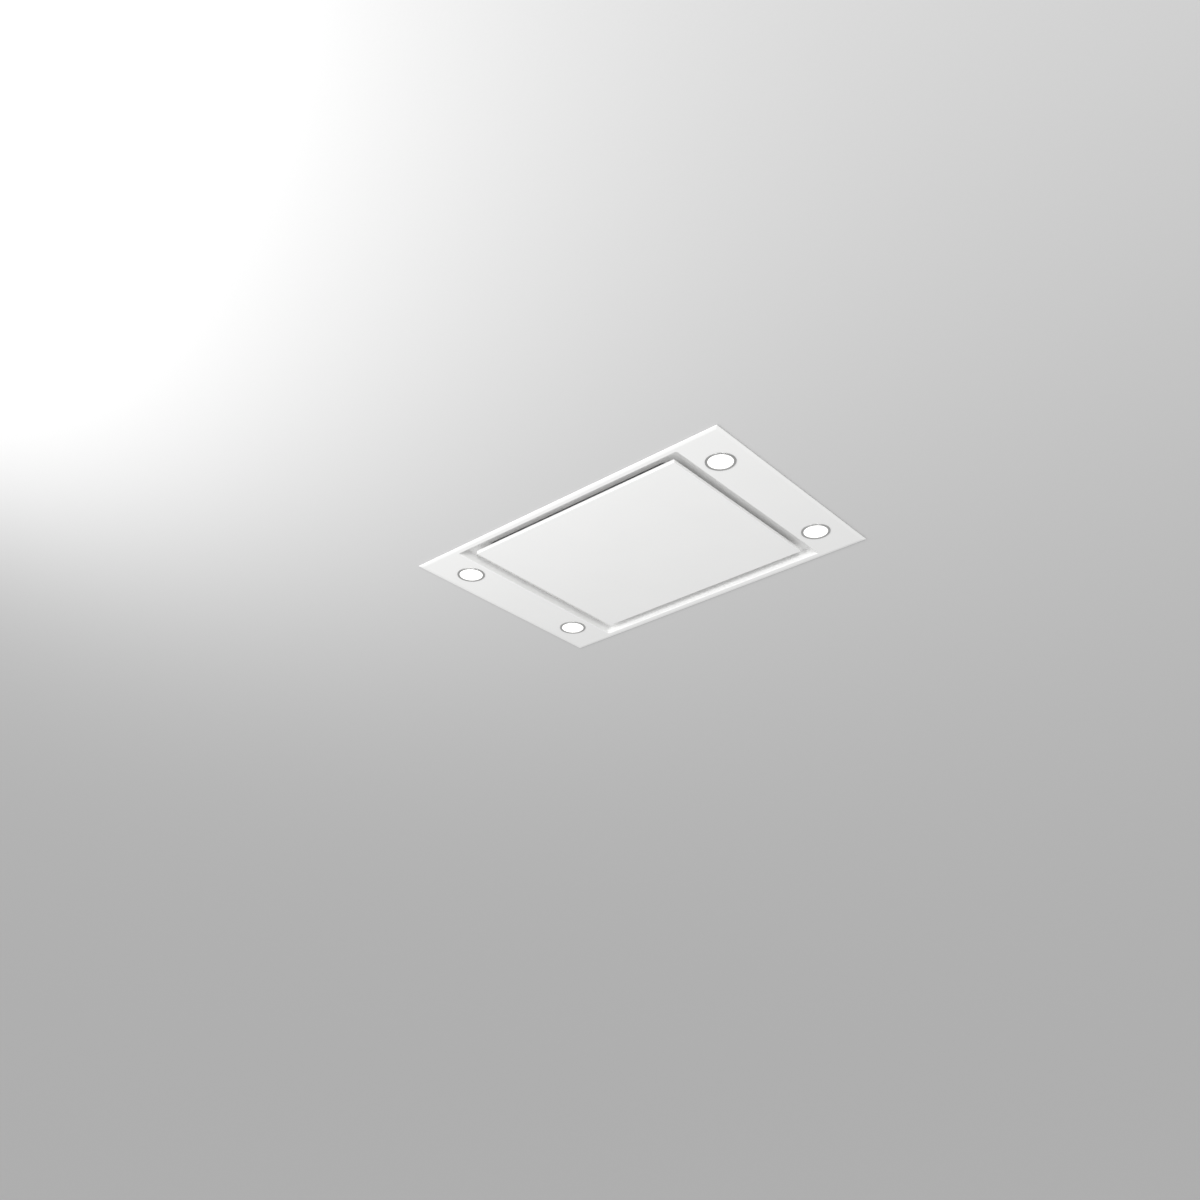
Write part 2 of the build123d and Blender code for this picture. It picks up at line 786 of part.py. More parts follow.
def scroll_housing():
    """The scroll's floor, its spiral wall and the posts for the cover's screws."""
    floor = extrude(Pos(0, 0, deck_top) * scroll_outline(scroll_margin), scroll_sheet)
    floor -= rod((blower_x, blower_y), eye_radius, deck_top - 1, scroll_z + 1)
    ring = scroll_outline(scroll_sheet) - scroll_outline(0)
    scroll = floor + extrude(Pos(0, 0, scroll_z) * ring, scroll_height)
    for place in post_places():
        scroll += rod(place, post_radius, scroll_z, cover_z)
    for place in post_places():
        scroll -= rod(place, screw_radius + screw_gap, cover_z - 14, cover_z + 1)
    for place in scroll_foot_places():
        scroll -= rod(place, screw_radius + screw_gap, deck_top - 1, scroll_z + 1)
    return scroll


def scroll_cover():
    """The top sheet of the scroll, with a hole for the motor."""
    cover = extrude(Pos(0, 0, cover_z) * scroll_outline(scroll_margin), cover_sheet)
    cover -= rod((blower_x, blower_y), motor_radius + motor_hole_gap, cover_z - 1, cover_top + 1)
    for place in post_places() + mount_places():
        cover -= rod(place, screw_radius + screw_gap, cover_z - 1, cover_top + 1)
    return cover


def blower_screws():
    """Screws of the scroll cover, the scroll floor and the deck."""
    cover = [screw(place, cover_top, 12, screw_radius) for place in post_places()]
    feet = [screw(place, scroll_z, deck_sheet + 5, screw_radius) for place in scroll_foot_places()]
    deck = [screw(place, deck_top, deck_sheet + 5, screw_radius) for place in deck_screw_places()]
    return cover + feet + deck


def inlet_ring():
    """A bellmouth from the plenum into the wheel's eye."""
    flange_radius = eye_radius + bell_flange
    flange_z = deck_z - bell_sheet
    outside = bell_throat + bell_sheet
    turn = outside + bell_curve
    top = deck_z + bell_curve
    rim_z = flange_z + bell_height
    flange = Polyline((turn, deck_z), (flange_radius, deck_z), (flange_radius, flange_z), (turn, flange_z))
    inner_turn = RadiusArc((turn, flange_z), (bell_throat, top), bell_curve + bell_sheet)
    throat = Polyline((bell_throat, top), (bell_throat, rim_z), (outside, rim_z), (outside, top))
    outer_turn = RadiusArc((outside, top), (turn, deck_z), -bell_curve)
    profile = make_face(Plane.XZ * (flange + inner_turn + throat + outer_turn))
    return Pos(blower_x, blower_y, 0) * revolve(profile, Axis.Z)


def inlet_guard():
    """A wire finger guard under the bellmouth: rings welded on six arms that turn up to its flange."""
    level = deck_z - bell_sheet - guard_drop
    foot_radius = eye_radius + bell_flange / 2
    centre = Pos(blower_x, blower_y, level)
    ring_place = centre * Pos(0, 0, 2 * wire_radius)
    wires = [ring_place * Torus(radius, wire_radius) for radius in guard_rings]
    start = guard_rings[0] - 2 * wire_radius
    for i in range(guard_arms):
        arm = rod((0, 0), wire_radius, start, foot_radius, along="X")
        arm += Pos(foot_radius, 0, 0) * Sphere(wire_radius)
        arm += rod((foot_radius, 0), wire_radius, 0, guard_drop)
        wires.append(centre * Rot(0, 0, 360 * i / guard_arms) * arm)
    return wires


def blade():
    """One forward-curved blade, before it is turned to its place."""
    inner = wheel_eye + 1
    outer = wheel_radius - 1
    bend = (inner + outer) / 2 + 1
    front = ThreePointArc((inner, 0), (bend, -4.5), (outer, 2))
    back = ThreePointArc((outer, 3.2), (bend, -3.3), (inner, 1.2))
    outline = front + Line((outer, 2), (outer, 3.2)) + back + Line((inner, 1.2), (inner, 0))
    low = wheel_z + wheel_ring
    return extrude(Pos(0, 0, low) * make_face(outline), wheel_top - wheel_sheet - low)


def impeller_blades():
    """The blades between the wheel's ring and its plate."""
    centre = Pos(blower_x, blower_y, 0)
    return [centre * Rot(0, 0, 360 * i / blade_count) * blade() for i in range(blade_count)]


def impeller_ring():
    """The ring that ties the blades' lower ends together round the eye."""
    return tube((blower_x, blower_y), wheel_radius, wheel_eye, wheel_z, wheel_z + wheel_ring)


def impeller_plate():
    """The plate over the blades, pressed down in a dish for the motor."""
    dish_rim = dish_radius + 8
    plate = tube((0, 0), wheel_radius, dish_rim, wheel_top - wheel_sheet, wheel_top)
    profile = Polyline(
        (hub_radius + pin_gap, dish_z),
        (dish_radius + wheel_sheet, dish_z),
        (dish_rim + wheel_sheet, wheel_top),
        (dish_rim, wheel_top),
        (dish_radius, dish_z + wheel_sheet),
        (hub_radius + pin_gap, dish_z + wheel_sheet),
        (hub_radius + pin_gap, dish_z),
    )
    plate += revolve(make_face(Plane.XZ * profile), Axis.Z)
    return Pos(blower_x, blower_y, 0) * plate


def impeller_hub():
    """The hub that clamps the wheel's dish to the shaft."""
    centre = (blower_x, blower_y)
    hub = rod(centre, hub_radius, dish_z - 12, dish_z + wheel_sheet + motor_to_dish - 2)
    hub += rod(centre, hub_flange, dish_z - 3, dish_z)
    return hub - rod(centre, shaft_radius + pin_gap, dish_z - 20, motor_z + 20)


def motor_shaft():
    """The shaft from the motor's bearing down through the hub."""
    return rod((blower_x, blower_y), shaft_radius, dish_z - 14, motor_z + 2 * bearing_height - 1)


def motor_body():
    """The motor: a round can with a fixing flange, end shields and a bearing seat."""
    centre = (blower_x, blower_y)
    top = motor_z + motor_height
    body = rod(centre, motor_radius, motor_z + 2, top - 2)
    body += rod(centre, motor_radius - 3, motor_z, top)
    body += rod(centre, motor_flange, mount_z + motor_plate_sheet, mount_z + 2 * motor_plate_sheet)
    body += rod(centre, motor_radius / 2, top - 1, top + 3)
    body -= rod(centre, bearing_radius + pin_gap, motor_z - 1, motor_z + bearing_height)
    body -= rod(centre, shaft_radius + 1, motor_z, motor_z + 2 * bearing_height)
    for i in range(12):
        slot = Pos(motor_radius * 0.7, 0, top - 1) * Box(motor_radius * 0.3, 3, 4)
        body -= Pos(blower_x, blower_y, 0) * Rot(0, 0, 30 * i) * slot
    return body


def motor_bearing():
    """The sleeve bearing in the motor's lower end."""
    centre = (blower_x, blower_y)
    return tube(centre, bearing_radius, shaft_radius + running_gap, motor_z, motor_z + bearing_height)


def mount_places():
    """The three rubber mounts round the motor."""
    return [
        (blower_x + mount_circle * cos(radians(angle)), blower_y + mount_circle * sin(radians(angle)))
        for angle in (90, 210, 330)
    ]


def motor_mount():
    """The plate that hangs the motor from its rubber mounts."""
    centre = (blower_x, blower_y)
    plate = tube(centre, motor_plate, motor_radius + touch_gap, mount_z, mount_z + motor_plate_sheet)
    for place in mount_places():
        plate -= rod(place, screw_radius + screw_gap, mount_z - 1, mount_z + motor_plate_sheet + 1)
    return plate


def motor_grommets():
    """Three rubber mounts between the scroll cover and the motor plate."""
    bore = screw_radius + screw_gap
    return [tube(place, mount_radius, bore, cover_top, mount_z) for place in mount_places()]


def motor_screws():
    """Screws through the motor plate and its rubber mounts."""
    seat = mount_z + motor_plate_sheet
    return [screw(place, seat, seat - cover_z + 3, screw_radius) for place in mount_places()]


# Outlet


def collar_screw_places():
    """The collar plate's four corner screws."""
    return [
        (outlet_y + y, outlet_z + z)
        for y in both_ways(collar_screw_offset)
        for z in both_ways(collar_screw_offset)
    ]


def duct_skin(grow):
    """The outlet duct's outline, from the scroll's mouth to the end wall."""
    side_plane = Plane.YZ
    mouth = side_plane.offset(outlet_x) * Pos(outlet_y, scroll_z + scroll_height / 2)
    end = side_plane.offset(inner_end) * Pos(outlet_y, outlet_z)
    start_shape = mouth * Rectangle(outlet_width + 2 * grow, scroll_height + 2 * grow)
    end_shape = end * Rectangle(duct_square + 2 * grow, duct_square + 2 * grow)
    return loft([start_shape, end_shape])


def outlet_duct():
    """A flared sheet duct with a flange on the end wall."""
    half = duct_square / 2 + duct_flange
    flange = block(
        (inner_end - casing_sheet, inner_end),
        (outlet_y - half, outlet_y + half),
        (outlet_z - half, outlet_z + half),
    )
    duct = duct_skin(scroll_sheet) + flange - duct_skin(0)
    for y, z in collar_screw_places():
        duct -= rod((y, z), screw_radius + screw_gap, inner_end - 5, inner_end + 5, along="X")
    return duct


def outlet_collar():
    """The round spigot on its square plate, with bosses for the flap spindle."""
    centre = (outlet_y, outlet_z)
    half = collar_plate / 2
    plate_end = casing_end + collar_sheet
    bore = spigot_radius - spigot_wall
    collar = block(
        (casing_end, plate_end), (outlet_y - half, outlet_y + half), (outlet_z - half, outlet_z + half)
    )
    collar = fillet(collar.edges().filter_by(Axis.X), 6)
    collar += rod(centre, spigot_radius, casing_end, plate_end + spigot_length, along="X")
    collar -= rod(centre, bore, casing_end - 1, plate_end + spigot_length + 1, along="X")
    for side in (-1, 1):
        ends = sorted((outlet_z + side * (bore - boss_depth), outlet_z + side * (bore + 1)))
        boss = rod((spindle_x, outlet_y), spindle_boss, *ends)
        hole = sorted((outlet_z, outlet_z + side * (bore - 2)))
        collar += boss
        collar -= rod((spindle_x, outlet_y), spindle_radius + pin_gap, *hole)
    for y, z in collar_screw_places():
        collar -= rod((y, z), screw_radius + screw_gap, casing_end - 1, plate_end + 1, along="X")
    return collar


def flap_spindle():
    """The upright wire that both flaps turn on."""
    reach = spigot_radius - spigot_wall - 2 - touch_gap
    return rod((spindle_x, outlet_y), spindle_radius, outlet_z - reach, outlet_z + reach)


def knuckle_spans(side):
    """The heights of one flap's two knuckles; the two flaps' knuckles alternate."""
    length = (spigot_radius - spigot_wall - boss_depth - 3) / 2
    first = outlet_z - (2 * length if side > 0 else length)
    starts = (first, first + 2 * length)
    return [(start + touch_gap, start + length - touch_gap) for start in starts]


def flap(side):
    """One half-round flap, closed, with its knuckles round the spindle."""
    radius = spigot_radius - spigot_wall - flap_clearance
    thickness = (spindle_x - flap_sheet / 2, spindle_x + flap_sheet / 2)
    disc = rod((outlet_y, outlet_z), radius, *thickness, along="X")
    near = spindle_radius + 1
    keep = sorted((outlet_y + side * near, outlet_y + side * (radius + 1)))
    plate = disc & block(thickness, keep, (outlet_z - radius, outlet_z + radius))
    notch_y = sorted((outlet_y, outlet_y + side * (knuckle_radius + 1)))
    for low, high in knuckle_spans(-side):
        plate -= block(thickness, notch_y, (low - 2 * touch_gap, high + 2 * touch_gap))
    boss_y = sorted((outlet_y, outlet_y + side * (spindle_boss + 1)))
    boss_z = radius - boss_depth - 2
    for end in (-1, 1):
        ends = sorted((outlet_z + end * boss_z, outlet_z + end * (radius + 1)))
        plate -= block(thickness, boss_y, ends)
    for low, high in knuckle_spans(side):
        plate += rod((spindle_x, outlet_y), knuckle_radius, low, high)
    for low, high in knuckle_spans(side):
        plate -= rod((spindle_x, outlet_y), spindle_radius + running_gap, low - 1, high + 1)
    return plate


# Lamps


def lamp_bezel(place):
    """A ring with a thin flange under the plate and a sleeve up through its hole."""
    sleeve_top = plate_top + 2
    bezel = rod(place, bezel_radius, face_z - bezel_sheet, face_z)
    bezel = fillet(bezel.edges().group_by(Axis.Z)[0], bezel_sheet / 2)
    bezel += rod(place, lamp_hole - screw_gap, face_z - bezel_sheet / 2, sleeve_top)
    return bezel - rod(place, lens_radius + pin_gap, face_z - bezel_sheet - 1, sleeve_top + 1)


def lamp_lens(place):
    """A slightly domed opal disc."""
    lens = rod(place, lens_radius, lens_z, lens_z + lens_sheet)
    return fillet(lens.edges().group_by(Axis.Z)[0], lens_sheet / 5)


def lamp_body(place):
    """The light's finned heat sink, on top of the lens."""
    low = lens_z + lens_sheet
    high = low + lamp_body_height
    body = rod(place, lamp_body_radius, low, low + 4)
    body += rod(place, lamp_body_radius * 0.45, low, high)
    for i in range(lamp_fins // 2):
        fin = Box(2 * lamp_body_radius - 1, 1.4, high - low)
        body += Pos(place[0], place[1], (low + high) / 2) * Rot(0, 0, 360 * i / lamp_fins) * fin
    return body


def lamp_clips(place):
    """Two spring strips that press the lamp down on to the plate."""
    clips = []
    for side in (-1, 1):
        x = (place[0] - clip_width / 2, place[0] + clip_width / 2)
        near = place[1] + side * lamp_body_radius
        leg_y = sorted((near, near + side * clip_sheet))
        foot_y = sorted((near, near + side * 3 * clip_width / 2))
        leg = block(x, leg_y, (plate_top + 3, plate_top + lamp_body_height / 2))
        rise = block(x, foot_y, (plate_top + 3, plate_top + 3 + clip_sheet))
        far = foot_y[0] if side < 0 else foot_y[1]
        toe_y = sorted((far, far - side * clip_sheet))
        toe = block(x, toe_y, (plate_top, plate_top + 3))
        clips.append(leg + rise + toe)
    return clips


# Hanging brackets


def bolt_places():
    """Side, Y and Z of each bracket bolt."""
    return [
        (side, y + across, bolt_z)
        for side in (-1, 1)
        for y in both_ways(bracket_y)
        for across in both_ways(bolt_spread / 2)
    ]


def bracket(side, y):
    """An L-shaped bracket with two upright slots and a foot over the lid."""
    near = side * (casing_end + touch_gap)
    far = near + side * bracket_sheet
    foot_z = casing_top + bracket_rise
    width = (y - bracket_width / 2, y + bracket_width / 2)
    tail = bolt_z - bracket_up - bracket_tail
    leg = block(sorted((near, far)), width, (tail, foot_z + bracket_sheet))
    foot = block(sorted((far, far - side * bracket_foot)), width, (foot_z, foot_z + bracket_sheet))
    shape = leg + foot
    hole_x = far - side * bracket_hole_inset
    shape -= rod((hole_x, y), bracket_hole, foot_z - 1, foot_z + bracket_sheet + 1)
    low = bolt_z - bracket_up
    high = bolt_z + bracket_down
    ends = sorted((near - side, far + side))
    for across in both_ways(bolt_spread / 2):
        for z in (low, high):
            shape -= rod((y + across, z), slot_half_width, *ends, along="X")
        slot_y = (y + across - slot_half_width, y + across + slot_half_width)
        shape -= block(ends, slot_y, (low, high))
    return shape


def bracket_bolts():
    """The bolts through the end walls that each bracket slides on and is locked by."""
    bolts = []
    for side, y, z in bolt_places():
        head_seat = side * (casing_end + bracket_sheet + 2 * touch_gap)
        nut_seat = side * inner_end
        shank = sorted((side * (inner_end - 2 * bolt_head_height), head_seat + side))
        head = sorted((head_seat, head_seat + side * bolt_head_height))
        nut = sorted((nut_seat, nut_seat - side * bolt_head_height))
        bolt = rod((y, z), bolt_radius, *shank, along="X")
        bolt += rod((y, z), bolt_head, *head, along="X")
        bolts.append(bolt + rod((y, z), bolt_head - 0.5, *nut, along="X"))
    return bolts


# Electrics


def control_box():
    """A sheet tray on the end wall for the electrics."""
    y = (box_y_low, box_y_high)
    inside_x = (box_low_x + box_sheet, box_high_x - box_sheet)
    inside_y = (y[0] + box_sheet, y[1] - box_sheet)
    tray = block((box_low_x, box_high_x), y, (box_z, box_top))
    tray -= block(inside_x, inside_y, (box_z + box_sheet, box_top))
    tray -= rod((gland_y, gland_z), gland_thread + screw_gap, box_low_x - 1, box_low_x + 5, along="X")
    return tray


def control_cover():
    """The lid of the control box, with a lip inside its long side."""
    y = (box_y_low, box_y_high)
    cover = block((box_low_x, box_high_x), y, (box_top, box_top + box_sheet))
    lip_x = (box_high_x - 2 * box_sheet - touch_gap, box_high_x - box_sheet - touch_gap)
    lip_y = (y[0] + 2 * box_sheet, y[1] - 2 * box_sheet)
    return cover + block(lip_x, lip_y, (box_top - 10, box_top))


def control_board():
    """The circuit board on its four standoffs, with its larger components."""
    low = box_z + box_sheet
    top = low + board_height + board_sheet
    x = (box_low_x + board_inset, box_high_x - board_inset)
    y = (box_y_low + board_inset, terminal_y - board_gap)
    board = block(x, y, (low + board_height, top))
    for corner_x in (x[0] + 5, x[1] - 5):
        for corner_y in (y[0] + 5, y[1] - 5):
            board += rod((corner_x, corner_y), 3, low, low + board_height)
    near_x = x[0] + component_gap
    next_y = y[0] + component_gap
    transformer_y = (next_y, next_y + transformer_length)
    board += block((near_x, near_x + transformer_width), transformer_y, (top, top + transformer_height))
    next_y += transformer_length + component_gap
    smoothing_place = (x[1] - component_gap - smoothing_radius / 2, next_y + smoothing_radius)
    board += rod(smoothing_place, smoothing_radius, top, top + smoothing_height)
    for i in range(relay_count):
        relay_y = (next_y + i * relay_pitch, next_y + i * relay_pitch + relay_width)
        board += block((near_x, near_x + relay_length), relay_y, (top, top + relay_height))
    return board


def terminal_block():
    """The mains terminals beside the cable gland."""
    low = box_z + box_sheet
    top = low + terminal_height
    y = (terminal_y, terminal_y + terminal_length)
    far_x = box_high_x - box_sheet - terminal_gap
    x = (far_x - terminal_width, far_x)
    pitch = terminal_length / terminal_count
    terminals = block(x, y, (low, top))
    for i in range(terminal_count):
        place = y[0] + (i + 0.5) * pitch
        terminals -= rod(((x[0] + x[1]) / 2, place), pitch / 4, top - 8, top + 1)
        terminals -= rod((place, low + terminal_height / 3), pitch / 5, x[0] - 1, x[0] + 10, along="X")
    return terminals


def cable_gland():
    """The gland for the mains cable, through the end wall and the control box."""
    centre = (gland_y, gland_z)
    outside = -casing_end
    inside = box_low_x + box_sheet
    gland = rod(centre, gland_thread, outside - 2, inside + gland_reach / 2, along="X")
    gland += rod(centre, gland_head, outside - gland_reach / 2, outside, along="X")
    gland += rod(centre, gland_head - 1, inside, inside + 5, along="X")
    return gland - rod(centre, gland_bore, outside - gland_reach, inside + gland_reach, along="X")


def led_driver():
    """The lamps' driver, a plastic case on the end wall."""
    x = (-inner_end, -inner_end + driver_depth)
    case = block(x, both_ways(driver_length / 2), (driver_z, driver_z + driver_height))
    return fillet(case.edges().filter_by(Axis.Z), 3)


def capacitor():
    """The motor's run capacitor, lying on the scroll cover."""
    ends = (capacitor_x - capacitor_length / 2, capacitor_x + capacitor_length / 2)
    can = rod((capacitor_y, capacitor_z), capacitor_radius, *ends, along="X")
    can = fillet(can.edges().filter_by(GeomType.CIRCLE), 2)
    for offset in both_ways(5):
        can += rod((capacitor_y + offset, capacitor_z), 1.5, ends[1], ends[1] + 8, along="X")
    return can


def capacitor_clip():
    """A strap round the capacitor with a foot on the scroll cover."""
    ends = (capacitor_x - clip_length / 2, capacitor_x + clip_length / 2)
    outer = capacitor_radius + clip_wall
    centre = (capacitor_y, capacitor_z)
    foot_y = (capacitor_y - outer - clip_length / 2, capacitor_y + outer + clip_length / 4)
    strap = rod(centre, outer, *ends, along="X") + block(ends, foot_y, (cover_top, cover_top + clip_wall))
    return strap - rod(centre, capacitor_radius + pin_gap, ends[0] - 1, ends[1] + 1, along="X")


def build_all():
    """Write every node."""
    os.makedirs("parts", exist_ok=True)
    save("fascia_plate", fascia_plate())
    save("ceiling_seal", ceiling_seal())
    save("panel_skin", panel_skin())
    save("panel_back", panel_back())
    save("panel_pad", panel_pad())
    save("panel_hinge_leaves", *hinge_leaves())
    save("hinge_brackets", *hinge_brackets())
    save("hinge_pins", *hinge_pins())
    save("magnets", *magnets())
    save("magnet_holders", *magnet_holders())
    save("magnet_strikes", *magnet_strikes())
    save("casing_shell", *casing_shell())
    save("casing_lid", casing_lid())
    save("screws", *casing_screws(), *fascia_screws(), *blower_screws(), *motor_screws())
    save("blower_deck", blower_deck())
    save("filter_rail", filter_rail())
    for number, side in ((1, -1), (2, 1)):
        save(f"plenum_side_{number}", plenum_side(side))
        save(f"filter_frame_{number}", filter_frame(side))
        save(f"filter_latch_{number}", filter_latch(side))
        save(f"latch_spring_{number}", latch_spring(side))
        save(f"outlet_flap_{number}", flap(side))
    save("filter_meshes", *filter_mesh(-1), *filter_mesh(1))
    save("inlet_ring", inlet_ring())
    save("inlet_guard", *inlet_guard())
    save("scroll_housing", scroll_housing())
    save("scroll_cover", scroll_cover())
    save("impeller_blades", *impeller_blades())
    save("impeller_ring", impeller_ring())
    save("impeller_plate", impeller_plate())
    save("impeller_hub", impeller_hub())
    save("motor_shaft", motor_shaft())
    save("motor_body", motor_body())
    save("motor_bearing", motor_bearing())
    save("motor_mount", motor_mount())
    save("motor_grommets", *motor_grommets())
    save("outlet_duct", outlet_duct())
    save("outlet_collar", outlet_collar())
    save("flap_spindle", flap_spindle())
    places = lamp_places()
    save("lamp_bezels", *[lamp_bezel(place) for place in places])
    save("lamp_lenses", *[lamp_lens(place) for place in places])
    save("lamp_bodies", *[lamp_body(place) for place in places])
    save("lamp_clips", *[clip for place in places for clip in lamp_clips(place)])
    corners = [(side, y) for side in (-1, 1) for y in both_ways(bracket_y)]
    for number, (side, y) in enumerate(corners, start=1):
        save(f"hanging_bracket_{number}", bracket(side, y))
    save("bracket_bolts", *bracket_bolts())
    save("control_box", control_box())
    save("control_cover", control_cover())
    save("control_board", control_board())
    save("terminal_block", terminal_block())
    save("cable_gland", cable_gland())
    save("led_driver", led_driver())
    save("capacitor", capacitor())
    save("capacitor_clip", capacitor_clip())


build_all()
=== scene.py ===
import math

import bmesh
import bpy
from mathutils import Matrix, Vector


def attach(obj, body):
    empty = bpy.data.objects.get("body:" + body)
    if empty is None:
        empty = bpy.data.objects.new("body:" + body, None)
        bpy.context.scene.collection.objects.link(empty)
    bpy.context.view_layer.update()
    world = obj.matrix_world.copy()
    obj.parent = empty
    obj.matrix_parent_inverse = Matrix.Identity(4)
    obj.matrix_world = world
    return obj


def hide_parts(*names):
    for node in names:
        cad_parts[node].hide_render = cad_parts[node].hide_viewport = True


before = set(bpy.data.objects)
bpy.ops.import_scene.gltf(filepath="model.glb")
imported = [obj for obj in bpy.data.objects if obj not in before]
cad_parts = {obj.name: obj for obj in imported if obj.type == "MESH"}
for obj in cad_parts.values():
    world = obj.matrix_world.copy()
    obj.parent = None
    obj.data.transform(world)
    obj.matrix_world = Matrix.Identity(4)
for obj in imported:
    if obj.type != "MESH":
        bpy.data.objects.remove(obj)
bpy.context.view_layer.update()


# Ceiling board. The hood is let into a flat painted ceiling, through a rectangular cut-out a little
# larger than its casing. Seen from above, the same board is the pale floor that it stands on.

cutout_length = 0.872
cutout_width = 0.576
ceiling_reach = 80.0
ceiling_level = 0.0004
ceiling_grey = (0.60, 0.60, 0.60)


class Socket:
    """A shader value that takes part in arithmetic; each expression adds its Math nodes."""

    def __init__(self, finish, socket):
        self.finish = finish
        self.socket = socket

    def _with(self, operation, first, second):
        return self.finish.node("ShaderNodeMath", {"operation": operation}, {0: first, 1: second})

    def __add__(self, other):
        return self._with("ADD", self, other)

    def __radd__(self, other):
        return self._with("ADD", other, self)

    def __sub__(self, other):
        return self._with("SUBTRACT", self, other)

    def __rsub__(self, other):
        return self._with("SUBTRACT", other, self)

    def __mul__(self, other):
        return self._with("MULTIPLY", self, other)

    def __rmul__(self, other):
        return self._with("MULTIPLY", other, self)

    def __truediv__(self, other):
        return self._with("DIVIDE", self, other)

    def __rtruediv__(self, other):
        return self._with("DIVIDE", other, self)

    def __pow__(self, other):
        return self._with("POWER", self, other)

    def __rpow__(self, other):
        return self._with("POWER", other, self)


class Finish:
    """One material, or the world, while its nodes are put in."""

    def __init__(self, tree):
        self.tree = tree
        tree.nodes.clear()

    def node(self, kind, settings=None, inputs=None, output=0):
        """Add any node: its type, its settings, then the values or links of its sockets."""
        made = self.tree.nodes.new(kind)
        for name, value in (settings or {}).items():
            setattr(made, name, value)
        for name, value in (inputs or {}).items():
            if isinstance(value, Socket):
                self.tree.links.new(value.socket, made.inputs[name])
            elif isinstance(value, tuple) and made.inputs[name].type == "RGBA":
                made.inputs[name].default_value = (*value, 1.0)
            else:
                made.inputs[name].default_value = value
        return Socket(self, made.outputs[output]) if made.outputs else None

    def places(self, scale=(1.0, 1.0, 1.0)):
        """The hood's own coordinates in metres, stretched along its axes."""
        own = self.node("ShaderNodeTexCoord", output=3)
        return self.node("ShaderNodeMapping", {"vector_type": "POINT"}, {"Vector": own, "Scale": scale})

    def noise(self, scale, detail=3.0, roughness=0.5, at=None):
        """Even, cloudy variation from 0 to 1."""
        return self.node(
            "ShaderNodeTexNoise",
            {"noise_dimensions": "3D"},
            {"Vector": at or self.places(), "Scale": scale, "Detail": detail, "Roughness": roughness},
        )

    def blend(self, share, first, second):
        """One colour over another, by share."""
        return self.node(
            "ShaderNodeMix", {"data_type": "RGBA"}, {0: share, 6: first, 7: second}, output=2
        )

    def clamp(self, value, low, high):
        """A value from 0 to 1 spread evenly between two others."""
        return self.node(
            "ShaderNodeMapRange", {"clamp": True}, {"Value": value, "To Min": low, "To Max": high}
        )

    def bump(self, height, depth, strength=1.0):
        """Relief of a height map, its depth in metres."""
        return self.node(
            "ShaderNodeBump", {}, {"Height": height, "Distance": depth, "Strength": strength}
        )

    def surface(self, inputs):
        """Close the material with one shader."""
        shader = self.node("ShaderNodeBsdfPrincipled", {}, inputs)
        self.node("ShaderNodeOutputMaterial", {}, {"Surface": shader})


def finish_named(name):
    """Start a material of that name."""
    material = bpy.data.materials.new(name)
    material.use_nodes = True
    return material, Finish(material.node_tree)


def ceiling_paint():
    """Matt emulsion with a faint roller texture."""
    material, paint = finish_named("ceiling_emulsion")
    roller = paint.noise(220.0, 4.0)
    paint.surface(
        {
            "Base Color": ceiling_grey,
            "Roughness": 0.9,
            "Specular IOR Level": 0.1,
            "Normal": paint.bump(roller, 0.0003, 0.4),
        }
    )
    return material


def ceiling_board():
    """A wide flat board with the cut-out in its middle."""
    mesh = bpy.data.meshes.new("ceiling_board")
    shape = bmesh.new()
    rings = []
    for half_x, half_y in ((ceiling_reach, ceiling_reach), (cutout_length / 2, cutout_width / 2)):
        corners = ((-half_x, -half_y), (half_x, -half_y), (half_x, half_y), (-half_x, half_y))
        rings.append([shape.verts.new((x, y, ceiling_level)) for x, y in corners])
    for i in range(4):
        after = (i + 1) % 4
        shape.faces.new((rings[0][i], rings[0][after], rings[1][after], rings[1][i]))
    shape.to_mesh(mesh)
    shape.free()
    board = bpy.data.objects.new("ceiling_board", mesh)
    bpy.context.scene.collection.objects.link(board)
    mesh.materials.append(ceiling_paint())


ceiling_board()


# Fascia plate, panel skin and panel back. One folded sheet of steel makes the plate, its recess walls
# and its recess floor; the panel is a shallow steel pan. All are coated with white polyester powder.

coat_white = (0.855, 0.855, 0.85)
coat_shade = (0.83, 0.83, 0.825)


def dress(material, *nodes):
    """Give CAD nodes their material."""
    for name in nodes:
        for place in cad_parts[name].material_slots:
            place.material = material


def powder_coat():
    """Satin white powder with its fine orange peel and the faint clouding of a baked coat."""
    material, coat = finish_named("white_powder_coat")
    clouds = coat.noise(7.0, 2.0)
    peel = coat.noise(900.0, 2.0, 0.4)
    grit = coat.noise(4200.0, 1.0, 0.5)
    coat.surface(
        {
            "Base Color": coat.blend(coat.clamp(clouds, 0.0, 1.0), coat_white, coat_shade),
            "Roughness": coat.clamp(clouds, 0.36, 0.46),
            "Specular IOR Level": 0.4,
            "Normal": coat.bump(peel * 0.8 + grit * 0.2, 0.00006, 0.5),
        }
    )
    return material


dress(powder_coat(), "fascia_plate", "panel_skin", "panel_back")


# Casing, blower housing, ducting and brackets. They are bent from galvanised steel sheet, whose zinc
# shows as pale crystals of a few millimetres to a few centimetres across.

zinc_light = (0.72, 0.735, 0.75)
zinc_dark = (0.50, 0.515, 0.53)


